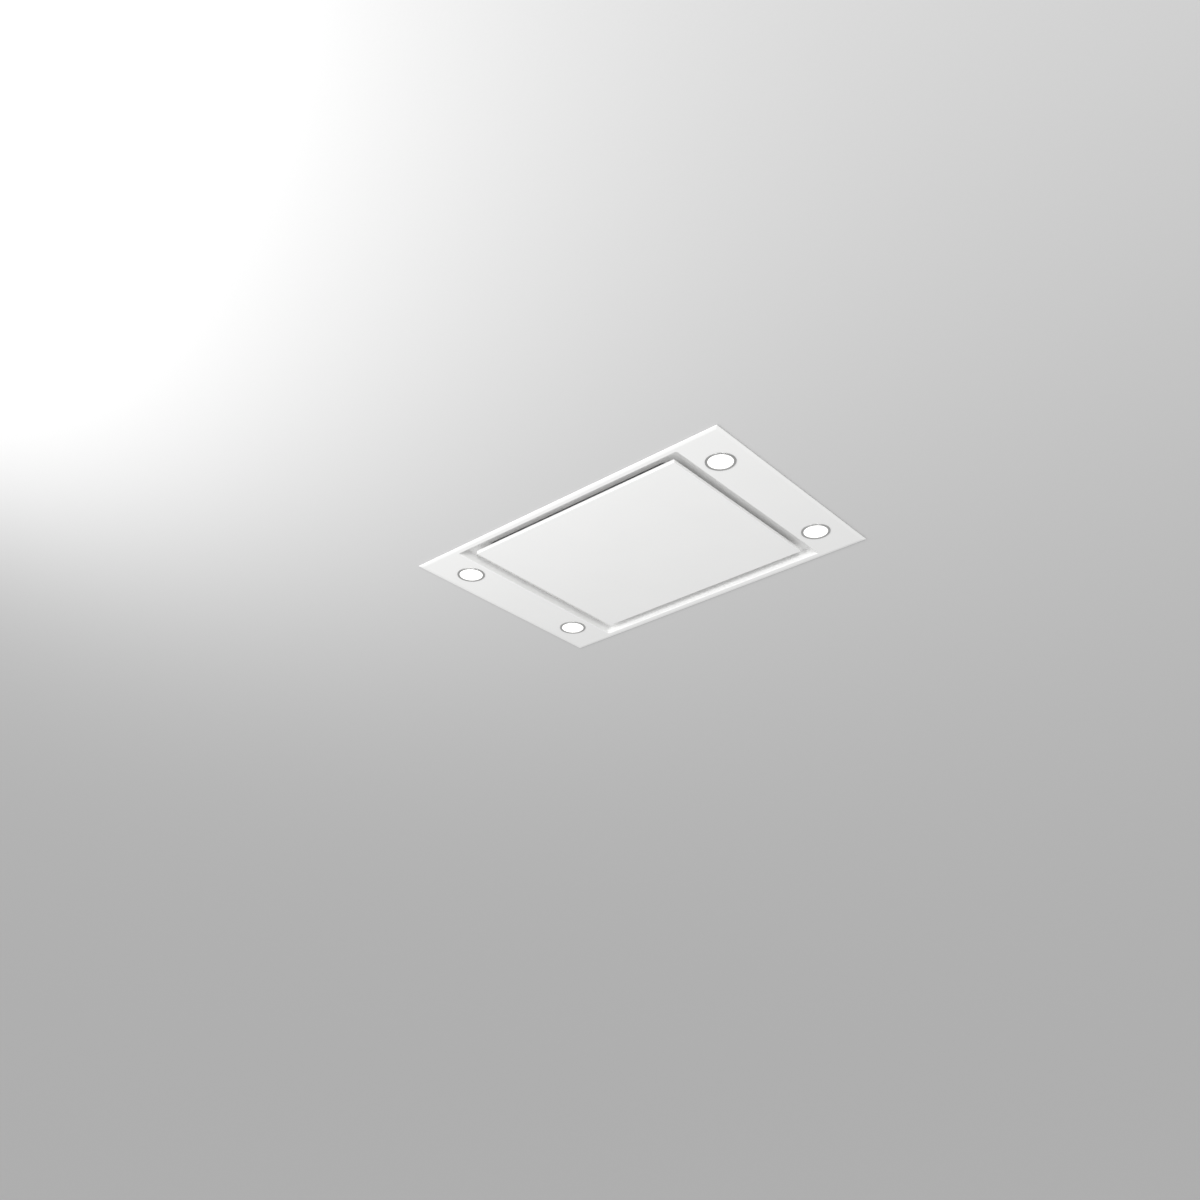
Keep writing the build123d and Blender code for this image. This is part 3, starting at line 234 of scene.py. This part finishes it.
def galvanised():
    """Zinc spangle: each crystal has its own grey and its own gloss, with fine scratches over it."""
    material, zinc = finish_named("galvanised_spangle")
    warp = zinc.noise(45.0, 2.0)
    crystals = zinc.node(
        "ShaderNodeTexVoronoi",
        {"feature": "F1"},
        {"Vector": zinc.places(), "Scale": 85.0, "Randomness": 1.0},
        output=1,
    )
    tone = zinc.node("ShaderNodeSeparateColor", {}, {"Color": crystals}, output=0)
    gloss = zinc.node("ShaderNodeSeparateColor", {}, {"Color": crystals}, output=1)
    scratch = zinc.noise(90.0, 3.0, 0.6, zinc.places((1.0, 14.0, 14.0)))
    shade = tone * 0.6 + warp * 0.4
    zinc.surface(
        {
            "Base Color": zinc.blend(shade, zinc_dark, zinc_light),
            "Metallic": 0.9,
            "Roughness": gloss * 0.22 + scratch * 0.12 + 0.26,
            "Normal": zinc.bump(scratch, 0.00005, 0.5),
        }
    )
    return material


zinc_sheet = galvanised()
dress(zinc_sheet, "casing_shell", "casing_lid", "blower_deck", "filter_rail")
dress(zinc_sheet, "plenum_side_1", "plenum_side_2", "inlet_ring", "scroll_housing", "scroll_cover")
dress(zinc_sheet, "impeller_blades", "impeller_ring", "impeller_plate", "motor_mount", "outlet_duct")
dress(zinc_sheet, "hanging_bracket_1", "hanging_bracket_2", "hanging_bracket_3", "hanging_bracket_4")
dress(zinc_sheet, "control_box", "control_cover", "capacitor_clip")


# Lamps. Each is a turned metal ring set into the plate round an opal disc, lit from behind, with a
# die-cast heat sink above it. Two spring strips hold it down on the plate.

ring_grey = (0.56, 0.56, 0.555)
ring_shade = (0.44, 0.44, 0.44)
lit_white = (1.0, 0.985, 0.955)
lit_pale = (1.0, 0.995, 0.98)
lens_glow = 0.6


def lamp_ring():
    """Satin nickel with the fine lines of turning, which run round each ring."""
    material, ring = finish_named("satin_nickel_ring")
    grain = ring.noise(1800.0, 2.0)
    worn = ring.noise(60.0, 3.0)
    ring.surface(
        {
            "Base Color": ring.blend(worn, ring_grey, ring_shade),
            "Metallic": 1.0,
            "Roughness": ring.clamp(grain, 0.24, 0.40),
            "Normal": ring.bump(grain, 0.00003, 0.5),
        }
    )
    return material


def opal():
    """Opal acrylic, lit evenly from behind, with the soft pattern of its diffuser."""
    material, lens = finish_named("lit_opal_acrylic")
    flow = lens.noise(90.0, 2.0)
    lens.surface(
        {
            "Base Color": (0.95, 0.95, 0.94),
            "Roughness": lens.clamp(flow, 0.28, 0.40),
            "Emission Color": lens.blend(flow, lit_white, lit_pale),
            "Emission Strength": lens_glow,
        }
    )
    return material


dress(lamp_ring(), "lamp_bezels")
dress(opal(), "lamp_lenses")


# Aluminium pieces: filter cassettes, outlet flaps, lamp heat sinks and the wheel's hub. They are
# extruded or die cast and left bare, with fine lines along their length.

aluminium_light = (0.80, 0.81, 0.82)
aluminium_dark = (0.66, 0.67, 0.68)


def bare_aluminium():
    """Bare aluminium with drawn lines and a slight bloom."""
    material, bare = finish_named("bare_aluminium")
    lines = bare.noise(60.0, 4.0, 0.6, bare.places((1.0, 30.0, 30.0)))
    bloom = bare.noise(24.0, 2.0)
    bare.surface(
        {
            "Base Color": bare.blend(bloom, aluminium_dark, aluminium_light),
            "Metallic": 0.95,
            "Roughness": lines * 0.18 + bloom * 0.12 + 0.22,
            "Normal": bare.bump(lines, 0.00003, 0.6),
        }
    )
    return material


aluminium = bare_aluminium()
dress(aluminium, "filter_frame_1", "filter_frame_2", "filter_meshes")
dress(aluminium, "outlet_flap_1", "outlet_flap_2", "lamp_bodies", "impeller_hub")


# Panel hinges and magnet strikes. Leaves, brackets and strikes are pressed from steel sheet and the
# pins are turned. All are plated with bright zinc, as are the screws, bolts and rivets further on.

plating_light = (0.78, 0.79, 0.80)
plating_blue = (0.60, 0.63, 0.68)


def bright_zinc():
    """Bright zinc plating with its faint blue passivation."""
    material, plated = finish_named("bright_zinc_plating")
    tint = plated.noise(160.0, 2.0)
    scuffs = plated.noise(700.0, 3.0, 0.6)
    plated.surface(
        {
            "Base Color": plated.blend(tint, plating_light, plating_blue),
            "Metallic": 1.0,
            "Roughness": scuffs * 0.25 + 0.18,
            "Normal": plated.bump(scuffs, 0.00002, 0.5),
        }
    )
    return material


plating = bright_zinc()
dress(plating, "panel_hinge_leaves", "hinge_brackets", "hinge_pins", "magnet_strikes")


# Screws. They are steel, zinc plated, with a pan head and a cross recess. They join the casing's sheets
# and hold the plate, the blower, the motor and the outlet collar. The recess is given in shares of the
# head's radius and height.

screw_radius = 0.004
screw_height = 0.0024
screw_shank = 0.006
screw_root = 0.0002
recess_length = 1.25
recess_width = 0.26
recess_depth = 1.2
recess_level = 1.1
seam_gap = 0.000002
rim_share = 0.96


class Recipe(Finish):
    """A Geometry Nodes tree while it is put together, with named inputs for its sizes."""

    def __init__(self, name, sizes):
        super().__init__(bpy.data.node_groups.new(name, "GeometryNodeTree"))
        sockets = self.tree.interface
        sockets.new_socket("Base", in_out="INPUT", socket_type="NodeSocketGeometry")
        self.keys = {}
        for label, value in sizes.items():
            kind = "NodeSocketInt" if isinstance(value, int) else "NodeSocketFloat"
            made = sockets.new_socket(label, in_out="INPUT", socket_type=kind)
            made.default_value = value
            self.keys[label] = made.identifier
        sockets.new_socket("Made", in_out="OUTPUT", socket_type="NodeSocketGeometry")
        self.entry = self.tree.nodes.new("NodeGroupInput")
        self.base = Socket(self, self.entry.outputs["Base"])

    def size(self, label):
        """One of the named sizes."""
        return Socket(self, self.entry.outputs[label])

    def vector(self, x=0.0, y=0.0, z=0.0):
        """Three values as one vector."""
        return self.node("ShaderNodeCombineXYZ", {}, {"X": x, "Y": y, "Z": z})

    def moved(self, shape, place=(0.0, 0.0, 0.0), turn=(0.0, 0.0, 0.0), scale=(1.0, 1.0, 1.0)):
        """A shape turned, scaled and set in its place."""
        return self.node(
            "GeometryNodeTransform",
            {},
            {"Geometry": shape, "Translation": place, "Rotation": turn, "Scale": scale},
        )

    def disc(self, sides, radius, depth, level):
        """A round or many-sided slice of a rod, its middle at a height."""
        shape = self.node(
            "GeometryNodeMeshCylinder", {}, {"Vertices": sides, "Radius": radius, "Depth": depth}
        )
        return self.moved(shape, place=self.vector(z=level))

    def joined(self, *shapes):
        """Shapes as one geometry."""
        made = self.tree.nodes.new("GeometryNodeJoinGeometry")
        for shape in reversed(shapes):
            self.tree.links.new(shape.socket, made.inputs[0])
        return Socket(self, made.outputs[0])

    def without(self, shape, *cutters):
        """A solid shape with others cut out of it."""
        made = self.tree.nodes.new("GeometryNodeMeshBoolean")
        made.operation = "DIFFERENCE"
        made.solver = "EXACT"
        self.tree.links.new(shape.socket, made.inputs["Mesh 1"])
        for cutter in cutters:
            self.tree.links.new(cutter.socket, made.inputs["Mesh 2"])
        return Socket(self, made.outputs[0])

    def along(self, points, shape):
        """The shape at every point, its own Z turned to the point's way."""
        way = self.node(
            "GeometryNodeInputNamedAttribute", {"data_type": "FLOAT_VECTOR"}, {"Name": "way"}
        )
        turn = self.node("FunctionNodeAlignRotationToVector", {"axis": "Z"}, {"Vector": way})
        return self.node(
            "GeometryNodeInstanceOnPoints", {}, {"Points": points, "Instance": shape, "Rotation": turn}
        )

    def close(self, shape, material):
        """End the tree: real geometry with its material."""
        real = self.node("GeometryNodeRealizeInstances", {}, {"Geometry": shape})
        made = self.node("GeometryNodeSetMaterial", {}, {"Geometry": real, "Material": material})
        self.node("NodeGroupOutput", {}, {"Made": made})


def grown(name, recipe, base, **sizes):
    """Run a recipe on a base mesh, and keep the plain mesh that it gives."""
    piece = bpy.data.objects.new(name, base)
    bpy.context.scene.collection.objects.link(piece)
    modifier = piece.modifiers.new("recipe", "NODES")
    modifier.node_group = recipe.tree
    for label, value in sizes.items():
        modifier[recipe.keys[label]] = value
    shaped = piece.evaluated_get(bpy.context.evaluated_depsgraph_get())
    plain = bpy.data.meshes.new_from_object(shaped)
    piece.modifiers.clear()
    piece.data = plain
    return piece


def seats(node):
    """The seat of each fastener in a CAD node, and the way that its head looks."""
    shape = bmesh.new()
    shape.from_mesh(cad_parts[node].data)
    bmesh.ops.remove_doubles(shape, verts=shape.verts, dist=seam_gap)
    waiting = set(shape.verts)
    places = []
    while waiting:
        piece = [waiting.pop()]
        for vertex in piece:
            for edge in vertex.link_edges:
                other = edge.other_vert(vertex)
                if other in waiting:
                    waiting.remove(other)
                    piece.append(other)
        points = [vertex.co for vertex in piece]
        low = Vector([min(point[axis] for point in points) for axis in range(3)])
        high = Vector([max(point[axis] for point in points) for axis in range(3)])
        along = max(range(3), key=lambda axis: high[axis] - low[axis])
        middle = (low + high) / 2
        across = [axis for axis in range(3) if axis != along]
        reach = max(math.hypot(*[point[axis] - middle[axis] for axis in across]) for point in points)
        rim = [
            point[along]
            for point in points
            if math.hypot(*[point[axis] - middle[axis] for axis in across]) > rim_share * reach
        ]
        side = 1.0 if sum(rim) / len(rim) > middle[along] else -1.0
        seat = middle.copy()
        seat[along] = min(rim) if side > 0 else max(rim)
        way = Vector((0.0, 0.0, 0.0))
        way[along] = side
        places.append((seat, way))
    shape.free()
    return sorted(places, key=lambda place: tuple(place[0]))


def spots(name, places):
    """A mesh of loose points, each with the way that its fastener's head looks."""
    mesh = bpy.data.meshes.new(name)
    mesh.from_pydata([place for place, _ in places], [], [])
    ways = mesh.attributes.new("way", "FLOAT_VECTOR", "POINT")
    for i, (_, way) in enumerate(places):
        ways.data[i].vector = way
    return mesh


def pan_screw():
    """A domed head with a cross recess, on a plain shank below its seat."""
    sizes = {"head_radius": screw_radius, "head_height": screw_height, "shank": screw_shank}
    recipe = Recipe("pan_head_screw", sizes)
    radius = recipe.size("head_radius")
    height = recipe.size("head_height")
    length = recipe.size("shank")
    ball = recipe.node(
        "GeometryNodeMeshUVSphere", {}, {"Segments": 28, "Rings": 14, "Radius": radius}
    )
    dome = recipe.moved(ball, scale=recipe.vector(1.0, 1.0, height / radius))
    lower_half = recipe.vector(radius * 3, radius * 3, radius * 2)
    below = recipe.node("GeometryNodeMeshCube", {}, {"Size": lower_half})
    below = recipe.moved(below, place=recipe.vector(z=radius * -1.0))
    blade = recipe.vector(radius * recess_length, radius * recess_width, height * recess_depth)
    slot = recipe.node("GeometryNodeMeshCube", {}, {"Size": blade})
    slot = recipe.moved(slot, place=recipe.vector(z=height * recess_level))
    crossed = recipe.moved(slot, turn=(0.0, 0.0, math.pi / 2))
    head = recipe.without(dome, below, slot, crossed)
    shank = recipe.disc(20, radius / 2, length, length * -0.5 + screw_root)
    recipe.close(recipe.along(recipe.base, recipe.joined(head, shank)), plating)
    return recipe


screw_heads = grown("screw_heads", pan_screw(), spots("screw_spots", seats("screws")))
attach(screw_heads, "hood")
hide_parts("screws")


# Bracket bolts. Two hexagon bolts of zinc-plated steel clamp each hanging bracket to the casing's end.
# The head has a flange and a shallow dish, and a nut sits behind the wall. Heights within the head are
# shares of its own.

bolt_radius = 0.0058
bolt_height = 0.004
bolt_reach = 0.0118
bolt_shank_radius = 0.003
bolt_root = 0.0005
nut_level = 0.0041


def hexagon_bolt():
    """A hexagon head on a flange, its shank through the wall, and a nut behind."""
    sizes = {"flange_radius": bolt_radius, "height": bolt_height, "reach": bolt_reach}
    recipe = Recipe("hexagon_bolt", sizes)
    radius = recipe.size("flange_radius")
    height = recipe.size("height")
    reach = recipe.size("reach")
    flange = recipe.disc(32, radius, height * 0.25, height * 0.125)
    block = recipe.disc(6, radius * 0.92, height * 0.75, height * 0.62)
    dish = recipe.disc(24, radius * 0.5, height * 0.2, height)
    head = recipe.joined(flange, recipe.without(block, dish))
    shank = recipe.disc(20, bolt_shank_radius, reach, reach * -0.5 + bolt_root)
    nut = recipe.disc(6, radius * 0.94, height, height * -0.5 - nut_level)
    recipe.close(recipe.along(recipe.base, recipe.joined(head, shank, nut)), plating)
    return recipe


bolt_heads = grown("bracket_bolt_heads", hexagon_bolt(), spots("bolt_spots", seats("bracket_bolts")))
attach(bolt_heads, "hood")
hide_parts("bracket_bolts")


# Rivets. Two dome rivets of zinc-plated steel hold each hinge leaf to the panel's back sheet. They sit
# in a row along the leaf's flat foot, clear of its knuckle.

rivet_radius = 0.002
rivet_height = 0.0008
rivet_inset = 0.005
leaf_foot = 0.003


def dome_rivet():
    """A low dome whose foot is sunk into the sheet."""
    recipe = Recipe("dome_rivet", {"radius": rivet_radius, "height": rivet_height})
    radius = recipe.size("radius")
    ball = recipe.node("GeometryNodeMeshUVSphere", {}, {"Segments": 24, "Rings": 12, "Radius": radius})
    dome = recipe.moved(ball, scale=recipe.vector(1.0, 1.0, recipe.size("height") / radius))
    recipe.close(recipe.along(recipe.base, dome), plating)
    return recipe


def leaf_rivet_places():
    """Two places on the flat foot of each hinge leaf."""
    points = [vertex.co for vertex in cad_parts["panel_hinge_leaves"].data.vertices]
    base = min(point.z for point in points)
    foot = [point for point in points if point.z < base + leaf_foot]
    top = sorted({round(point.z, 5) for point in foot})[1]
    near = min(point.y for point in foot)
    places = []
    for side in (-1, 1):
        reach = [abs(point.x) for point in foot if point.x * side > 0]
        for share in (0.25, 0.75):
            x = side * (min(reach) + (max(reach) - min(reach)) * share)
            places.append((Vector((x, near + rivet_inset, top)), Vector((0.0, 0.0, 1.0))))
    return places


leaf_rivets = grown("hinge_leaf_rivets", dome_rivet(), spots("leaf_rivet_spots", leaf_rivet_places()))
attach(leaf_rivets, "panel")


# Beads on the casing's lid. Low ribs with tapered ends are pressed into the galvanised sheet, so that
# the wide lid is stiff and doesn't drum while the blower runs.

bead_width = 0.014
bead_height = 0.0011
bead_length = 0.46
bead_pitch = 0.11
bead_count = 7


def pressed_bead():
    """A rib along each line, thinned to nothing at both ends, and flattened on to the sheet."""
    recipe = Recipe("pressed_bead", {"width": bead_width, "height": bead_height, "level": 0.0})
    lines = recipe.node("GeometryNodeMeshToCurve", {}, {"Mesh": recipe.base})
    lines = recipe.node("GeometryNodeResampleCurve", {"mode": "COUNT"}, {"Curve": lines, "Count": 33})
    share = recipe.node("GeometryNodeSplineParameter", output=0)
    across = share * 2.0 - 1.0
    thickness = (1.0001 - across ** 8) ** 0.5
    lines = recipe.node("GeometryNodeSetCurveRadius", {}, {"Curve": lines, "Radius": thickness})
    ring = recipe.node(
        "GeometryNodeCurvePrimitiveCircle", {}, {"Resolution": 20, "Radius": recipe.size("width") / 2}
    )
    rib = recipe.node(
        "GeometryNodeCurveToMesh", {}, {"Curve": lines, "Profile Curve": ring, "Fill Caps": True}
    )
    squash = recipe.vector(1.0, 1.0, recipe.size("height") / (recipe.size("width") / 2))
    rib = recipe.moved(rib, place=recipe.vector(z=recipe.size("level")), scale=squash)
    recipe.close(rib, zinc_sheet)
    return recipe


def bead_lines():
    """Straight lines across the lid, evenly spaced along it."""
    mesh = bpy.data.meshes.new("bead_lines")
    points = []
    for i in range(bead_count):
        x = bead_pitch * (i - (bead_count - 1) / 2)
        points += [(x, -bead_length / 2, 0.0), (x, bead_length / 2, 0.0)]
    mesh.from_pydata(points, [(i, i + 1) for i in range(0, len(points), 2)], [])
    return mesh


lid_level = max(vertex.co.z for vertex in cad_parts["casing_lid"].data.vertices)
lid_beads = grown("casing_lid_beads", pressed_bead(), bead_lines(), level=lid_level)
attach(lid_beads, "hood")


# Filter mesh. Each cassette holds layers of expanded aluminium: slit foil, drawn out into diamonds. The
# strands run across the cassette, and the latch's housing interrupts them.

strand_gap = 0.006
diamond_length = 0.012
strand_width = 0.0009


def expanded_foil():
    """Straight strands bent into zigzags; neighbouring strands meet at their points."""
    recipe = Recipe("expanded_foil", {"gap": strand_gap, "diamond": diamond_length, "width": strand_width})
    strands = recipe.node("GeometryNodeMeshToCurve", {}, {"Mesh": recipe.base})
    strands = recipe.node(
        "GeometryNodeResampleCurve",
        {"mode": "LENGTH"},
        {"Curve": strands, "Length": recipe.size("diamond") / 2},
    )
    step = recipe.node("GeometryNodeSplineParameter", output=2)
    first = recipe.node("GeometryNodeInputNamedAttribute", {"data_type": "FLOAT"}, {"Name": "first"})
    turn = recipe.node("ShaderNodeMath", {"operation": "MODULO"}, {0: step + first, 1: 2.0})
    swing = (turn - 0.5) * recipe.size("gap")
    bent = recipe.node(
        "GeometryNodeSetPosition", {}, {"Geometry": strands, "Offset": recipe.vector(y=swing)}
    )
    section = recipe.node(
        "GeometryNodeCurvePrimitiveQuadrilateral",
        {},
        {"Width": recipe.size("width"), "Height": recipe.size("width") / 2},
    )
    wire = recipe.node(
        "GeometryNodeCurveToMesh", {}, {"Curve": bent, "Profile Curve": section, "Fill Caps": True}
    )
    recipe.close(wire, aluminium)
    return recipe


def strand_lines():
    """One straight line for each stretch of strand in the outer layers of both cassettes."""
    sheets = [vertex.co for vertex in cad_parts["filter_meshes"].data.vertices]
    inset = strand_width * 2
    ends, first = [], []
    for side in (-1, 1):
        corners = [point for point in sheets if point.x * side > 0]
        left, notch_left, notch_right, right = sorted({round(point.x, 4) for point in corners})
        near, notch_far, far = sorted({round(point.y, 4) for point in corners})
        levels = sorted({round(point.z, 5) for point in corners})
        layers = [(levels[0] + levels[1]) / 2, (levels[-2] + levels[-1]) / 2]
        rows = int((far - near - strand_gap) / strand_gap)
        for layer, z in enumerate(layers):
            for row in range(rows + 1):
                y = near + strand_gap * (row + 0.75)
                whole = [(left + inset, right - inset)]
                split = [(left + inset, notch_left - inset), (notch_right + inset, right - inset)]
                for start, stop in split if y < notch_far + strand_gap / 2 else whole:
                    ends.append(((start, y, z), (stop, y, z)))
                    first.append(float((row + layer) % 2))
    return ends, first


def line_mesh(name, ends, first):
    """Loose edges, each with the side to which its zigzag first turns."""
    mesh = bpy.data.meshes.new(name)
    points = [point for pair in ends for point in pair]
    mesh.from_pydata(points, [(i, i + 1) for i in range(0, len(points), 2)], [])
    turns = mesh.attributes.new("first", "FLOAT", "POINT")
    for i, value in enumerate(first):
        turns.data[2 * i].value = value
        turns.data[2 * i + 1].value = value
    return mesh


mesh_packs = grown("filter_mesh_packs", expanded_foil(), line_mesh("strand_lines", *strand_lines()))
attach(mesh_packs, "hood")
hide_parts("filter_meshes")


# Latch springs, motor shaft, flap spindle and lamp clips. The springs are drawn steel wire, the clips
# spring strip, and the shaft and spindle ground rod. All are polished and lightly oiled.


def spring_steel():
    """Polished steel with faint drawing marks."""
    material, steel = finish_named("polished_spring_steel")
    marks = steel.noise(1200.0, 3.0)
    steel.surface(
        {
            "Base Color": steel.blend(marks, (0.62, 0.61, 0.60), (0.74, 0.74, 0.74)),
            "Metallic": 1.0,
            "Roughness": steel.clamp(marks, 0.14, 0.28),
            "Normal": steel.bump(marks, 0.00002, 0.4),
        }
    )
    return material


dress(spring_steel(), "latch_spring_1", "latch_spring_2", "motor_shaft", "flap_spindle", "lamp_clips")


# Moulded plastic pieces: collar, cable gland, filter latches, magnet holders, terminals, driver and
# capacitor. Each has the fine spark texture of its mould.


def moulded(name, colour, shade, gloss):
    """Moulded plastic: a spark texture, and flow marks that change its tone slightly."""
    material, plastic = finish_named(name)
    spark = plastic.noise(1500.0, 2.0, 0.6)
    flow = plastic.noise(25.0, 2.0)
    plastic.surface(
        {
            "Base Color": plastic.blend(flow, colour, shade),
            "Roughness": spark * 0.15 + gloss,
            "Normal": plastic.bump(spark, 0.00008, 0.6),
        }
    )
    return material


black_moulding_and_slot_shade = moulded("black_moulding_and_slot_shade", (0.035, 0.035, 0.037), (0.055, 0.055, 0.058), 0.42)
grey_moulding = moulded("grey_moulding", (0.16, 0.165, 0.17), (0.20, 0.205, 0.21), 0.40)
white_moulding = moulded("white_moulding", (0.80, 0.80, 0.78), (0.86, 0.86, 0.85), 0.38)
# The magnet holders are black plastic, and their dark strip along the panel's near slot is partly painted
# shade: it stands in for the shadow that falls in that slot.
dress(black_moulding_and_slot_shade, "outlet_collar", "cable_gland", "magnet_holders")
dress(grey_moulding, "filter_latch_1", "filter_latch_2")
dress(white_moulding, "terminal_block", "led_driver", "capacitor")


# Motor, its bearing, its rubber mounts, the wire guard and the panel's magnets. The motor's housing and
# the guard are stoved with dark enamel, the bearing is porous bronze and the mounts are black rubber.
# The magnets are sintered ferrite.


def motor_paint():
    """Dark stoved enamel with a light hammer finish."""
    material, enamel = finish_named("dark_stoved_enamel")
    hammer = enamel.node(
        "ShaderNodeTexVoronoi", {"feature": "SMOOTH_F1"}, {"Vector": enamel.places(), "Scale": 420.0}
    )
    enamel.surface(
        {
            "Base Color": enamel.blend(hammer, (0.05, 0.053, 0.056), (0.085, 0.088, 0.092)),
            "Roughness": enamel.clamp(hammer, 0.30, 0.42),
            "Normal": enamel.bump(hammer, 0.0002, 0.5),
        }
    )
    return material


def sintered_bronze():
    """Porous bronze of a sleeve bearing."""
    material, bronze = finish_named("sintered_bronze")
    pores = bronze.noise(3000.0, 2.0)
    bronze.surface(
        {
            "Base Color": bronze.blend(pores, (0.42, 0.29, 0.14), (0.60, 0.44, 0.24)),
            "Metallic": 0.9,
            "Roughness": bronze.clamp(pores, 0.35, 0.55),
            "Normal": bronze.bump(pores, 0.00004, 0.6),
        }
    )
    return material


def matt_black(name, shade, scale):
    """Rubber or ferrite: matt, with a bloom of the given scale."""
    material, black = finish_named(name)
    bloom = black.noise(scale, 3.0, 0.7)
    black.surface(
        {
            "Base Color": black.blend(bloom, (shade * 0.7,) * 3, (shade * 1.4,) * 3),
            "Roughness": black.clamp(bloom, 0.78, 0.95),
            "Normal": black.bump(bloom, 0.00005, 0.8),
        }
    )
    return material


dress(motor_paint(), "motor_body", "inlet_guard")
dress(sintered_bronze(), "motor_bearing")
dress(matt_black("mount_rubber", 0.03, 800.0), "motor_grommets")
dress(matt_black("magnet_ferrite", 0.05, 1800.0), "magnets")


# Ceiling seal. A ring of pale closed-cell polyethylene foam, glued to the back of the plate's border.
# It keeps air and light from passing between the plate and the ceiling.


def pale_foam():
    """Pale foam with its fine closed cells."""
    material, foam = finish_named("pale_closed_cell_foam")
    cells = foam.node("ShaderNodeTexVoronoi", {"feature": "F1"}, {"Vector": foam.places(), "Scale": 900.0})
    foam.surface(
        {
            "Base Color": foam.blend(cells, (0.74, 0.74, 0.73), (0.84, 0.84, 0.83)),
            "Roughness": foam.clamp(cells, 0.75, 0.92),
            "Normal": foam.bump(cells, 0.0003, 0.6),
        }
    )
    return material


dress(pale_foam(), "ceiling_seal")


# Panel damping pad. A sheet of pressed grey felt, cut to size and glued inside the panel's pan, so that
# the thin steel doesn't ring.


def grey_felt():
    """Pressed felt with short crossing fibres."""
    material, felt = finish_named("pressed_grey_felt")
    fibres = felt.noise(700.0, 5.0, 0.75, felt.places((1.0, 3.0, 1.0)))
    tufts = felt.noise(60.0, 3.0)
    felt.surface(
        {
            "Base Color": felt.blend(fibres, (0.10, 0.10, 0.105), (0.26, 0.26, 0.27)),
            "Roughness": felt.clamp(tufts, 0.88, 1.0),
            "Normal": felt.bump(fibres, 0.0006, 0.8),
        }
    )
    return material


dress(grey_felt(), "panel_pad")


# Control board. Green glass-fibre laminate, its copper tracks tinned and covered with lacquer. It stands
# on four standoffs in the control box.


def laminate():
    """Lacquered laminate, with straight tracks under the lacquer."""
    material, board = finish_named("lacquered_laminate")
    tracks = board.node(
        "ShaderNodeTexBrick",
        {"offset": 0.5},
        {"Vector": board.places(), "Scale": 120.0, "Mortar Size": 0.04, "Bias": 0.2},
        output=1,
    )
    weave = board.noise(2200.0, 1.0)
    board.surface(
        {
            "Base Color": board.blend(tracks, (0.02, 0.13, 0.06), (0.05, 0.24, 0.11)),
            "Roughness": board.clamp(weave, 0.25, 0.35),
            "Coat Weight": 0.3,
            "Normal": board.bump(tracks, 0.00006, 0.6),
        }
    )
    return material


dress(laminate(), "control_board")


# Light and camera. Even light comes from all round. Three square diffusers stand below the hood, on
# its near side and off its right near corner, and two stand above it. The camera stands below the
# hood, off the same corner.

light_white = 0.70
backdrop_white = 0.62


def room_light():
    """Even light from all round, with a pale backdrop for the camera and for reflections."""
    world = bpy.data.worlds.new("soft_room")
    bpy.context.scene.world = world
    world.use_nodes = True
    air = Finish(world.node_tree)
    seen = air.node("ShaderNodeLightPath", output=0)
    mirrored = air.node("ShaderNodeLightPath", output=3)
    through = air.node("ShaderNodeLightPath", output=6)
    shown = air.node("ShaderNodeMath", {"operation": "MAXIMUM"}, {0: seen, 1: mirrored})
    shown = air.node("ShaderNodeMath", {"operation": "MAXIMUM"}, {0: shown, 1: through})
    colour = air.blend(shown, (light_white,) * 3, (backdrop_white,) * 3)
    glow = air.node("ShaderNodeBackground", {}, {"Color": colour, "Strength": 1.0})
    air.node("ShaderNodeOutputWorld", {}, {"Surface": glow})


def diffuser(name, place, target, size, power):
    """A large square lamp that faces a point."""
    data = bpy.data.lights.new(name, "AREA")
    data.shape = "SQUARE"
    data.size = size
    data.energy = power
    lamp = bpy.data.objects.new(name, data)
    bpy.context.scene.collection.objects.link(lamp)
    lamp.location = place
    lamp.rotation_mode = "QUATERNION"
    lamp.rotation_quaternion = (Vector(target) - Vector(place)).to_track_quat("-Z", "Y")


room_light()
diffuser("light_near_left", (-0.6, -1.5, -0.8), (0.0, 0.0, 0.0), 1.0, 8.5)
diffuser("light_near_right", (0.3, -2.2, -0.7), (0.0, 0.0, 0.0), 0.6, 13.2)
diffuser("light_far_right", (3.2, -3.6, -1.3), (0.0, 0.0, 0.0), 1.2, 94.0)
diffuser("light_above", (-1.2, -1.6, 2.6), (0.0, 0.0, 0.15), 2.0, 36.0)
diffuser("light_above_far", (1.8, 1.7, 2.0), (0.0, 0.0, 0.15), 2.0, 24.0)


camera_place = (1.68684, -2.12621, -1.58913)
camera_right = (0.76101, 0.64874, -0.00171)
camera_forward = (-0.57080, 0.67083, 0.47347)
camera_lens = 39.06


def photo_camera():
    """The camera, fitted to the edges of the plate, its recess and the panel."""
    data = bpy.data.cameras.new("camera")
    data.sensor_width = 36.0
    data.lens = camera_lens
    data.clip_start = 0.05
    data.clip_end = 200.0
    camera = bpy.data.objects.new("camera", data)
    bpy.context.scene.collection.objects.link(camera)
    right = Vector(camera_right).normalized()
    forward = Vector(camera_forward).normalized()
    up = right.cross(forward).normalized()
    right = forward.cross(up).normalized()
    turn = Matrix((right, up, -forward)).transposed().to_4x4()
    camera.matrix_world = Matrix.Translation(camera_place) @ turn
    bpy.context.scene.camera = camera


photo_camera()
bpy.context.scene.view_settings.view_transform = "Standard"
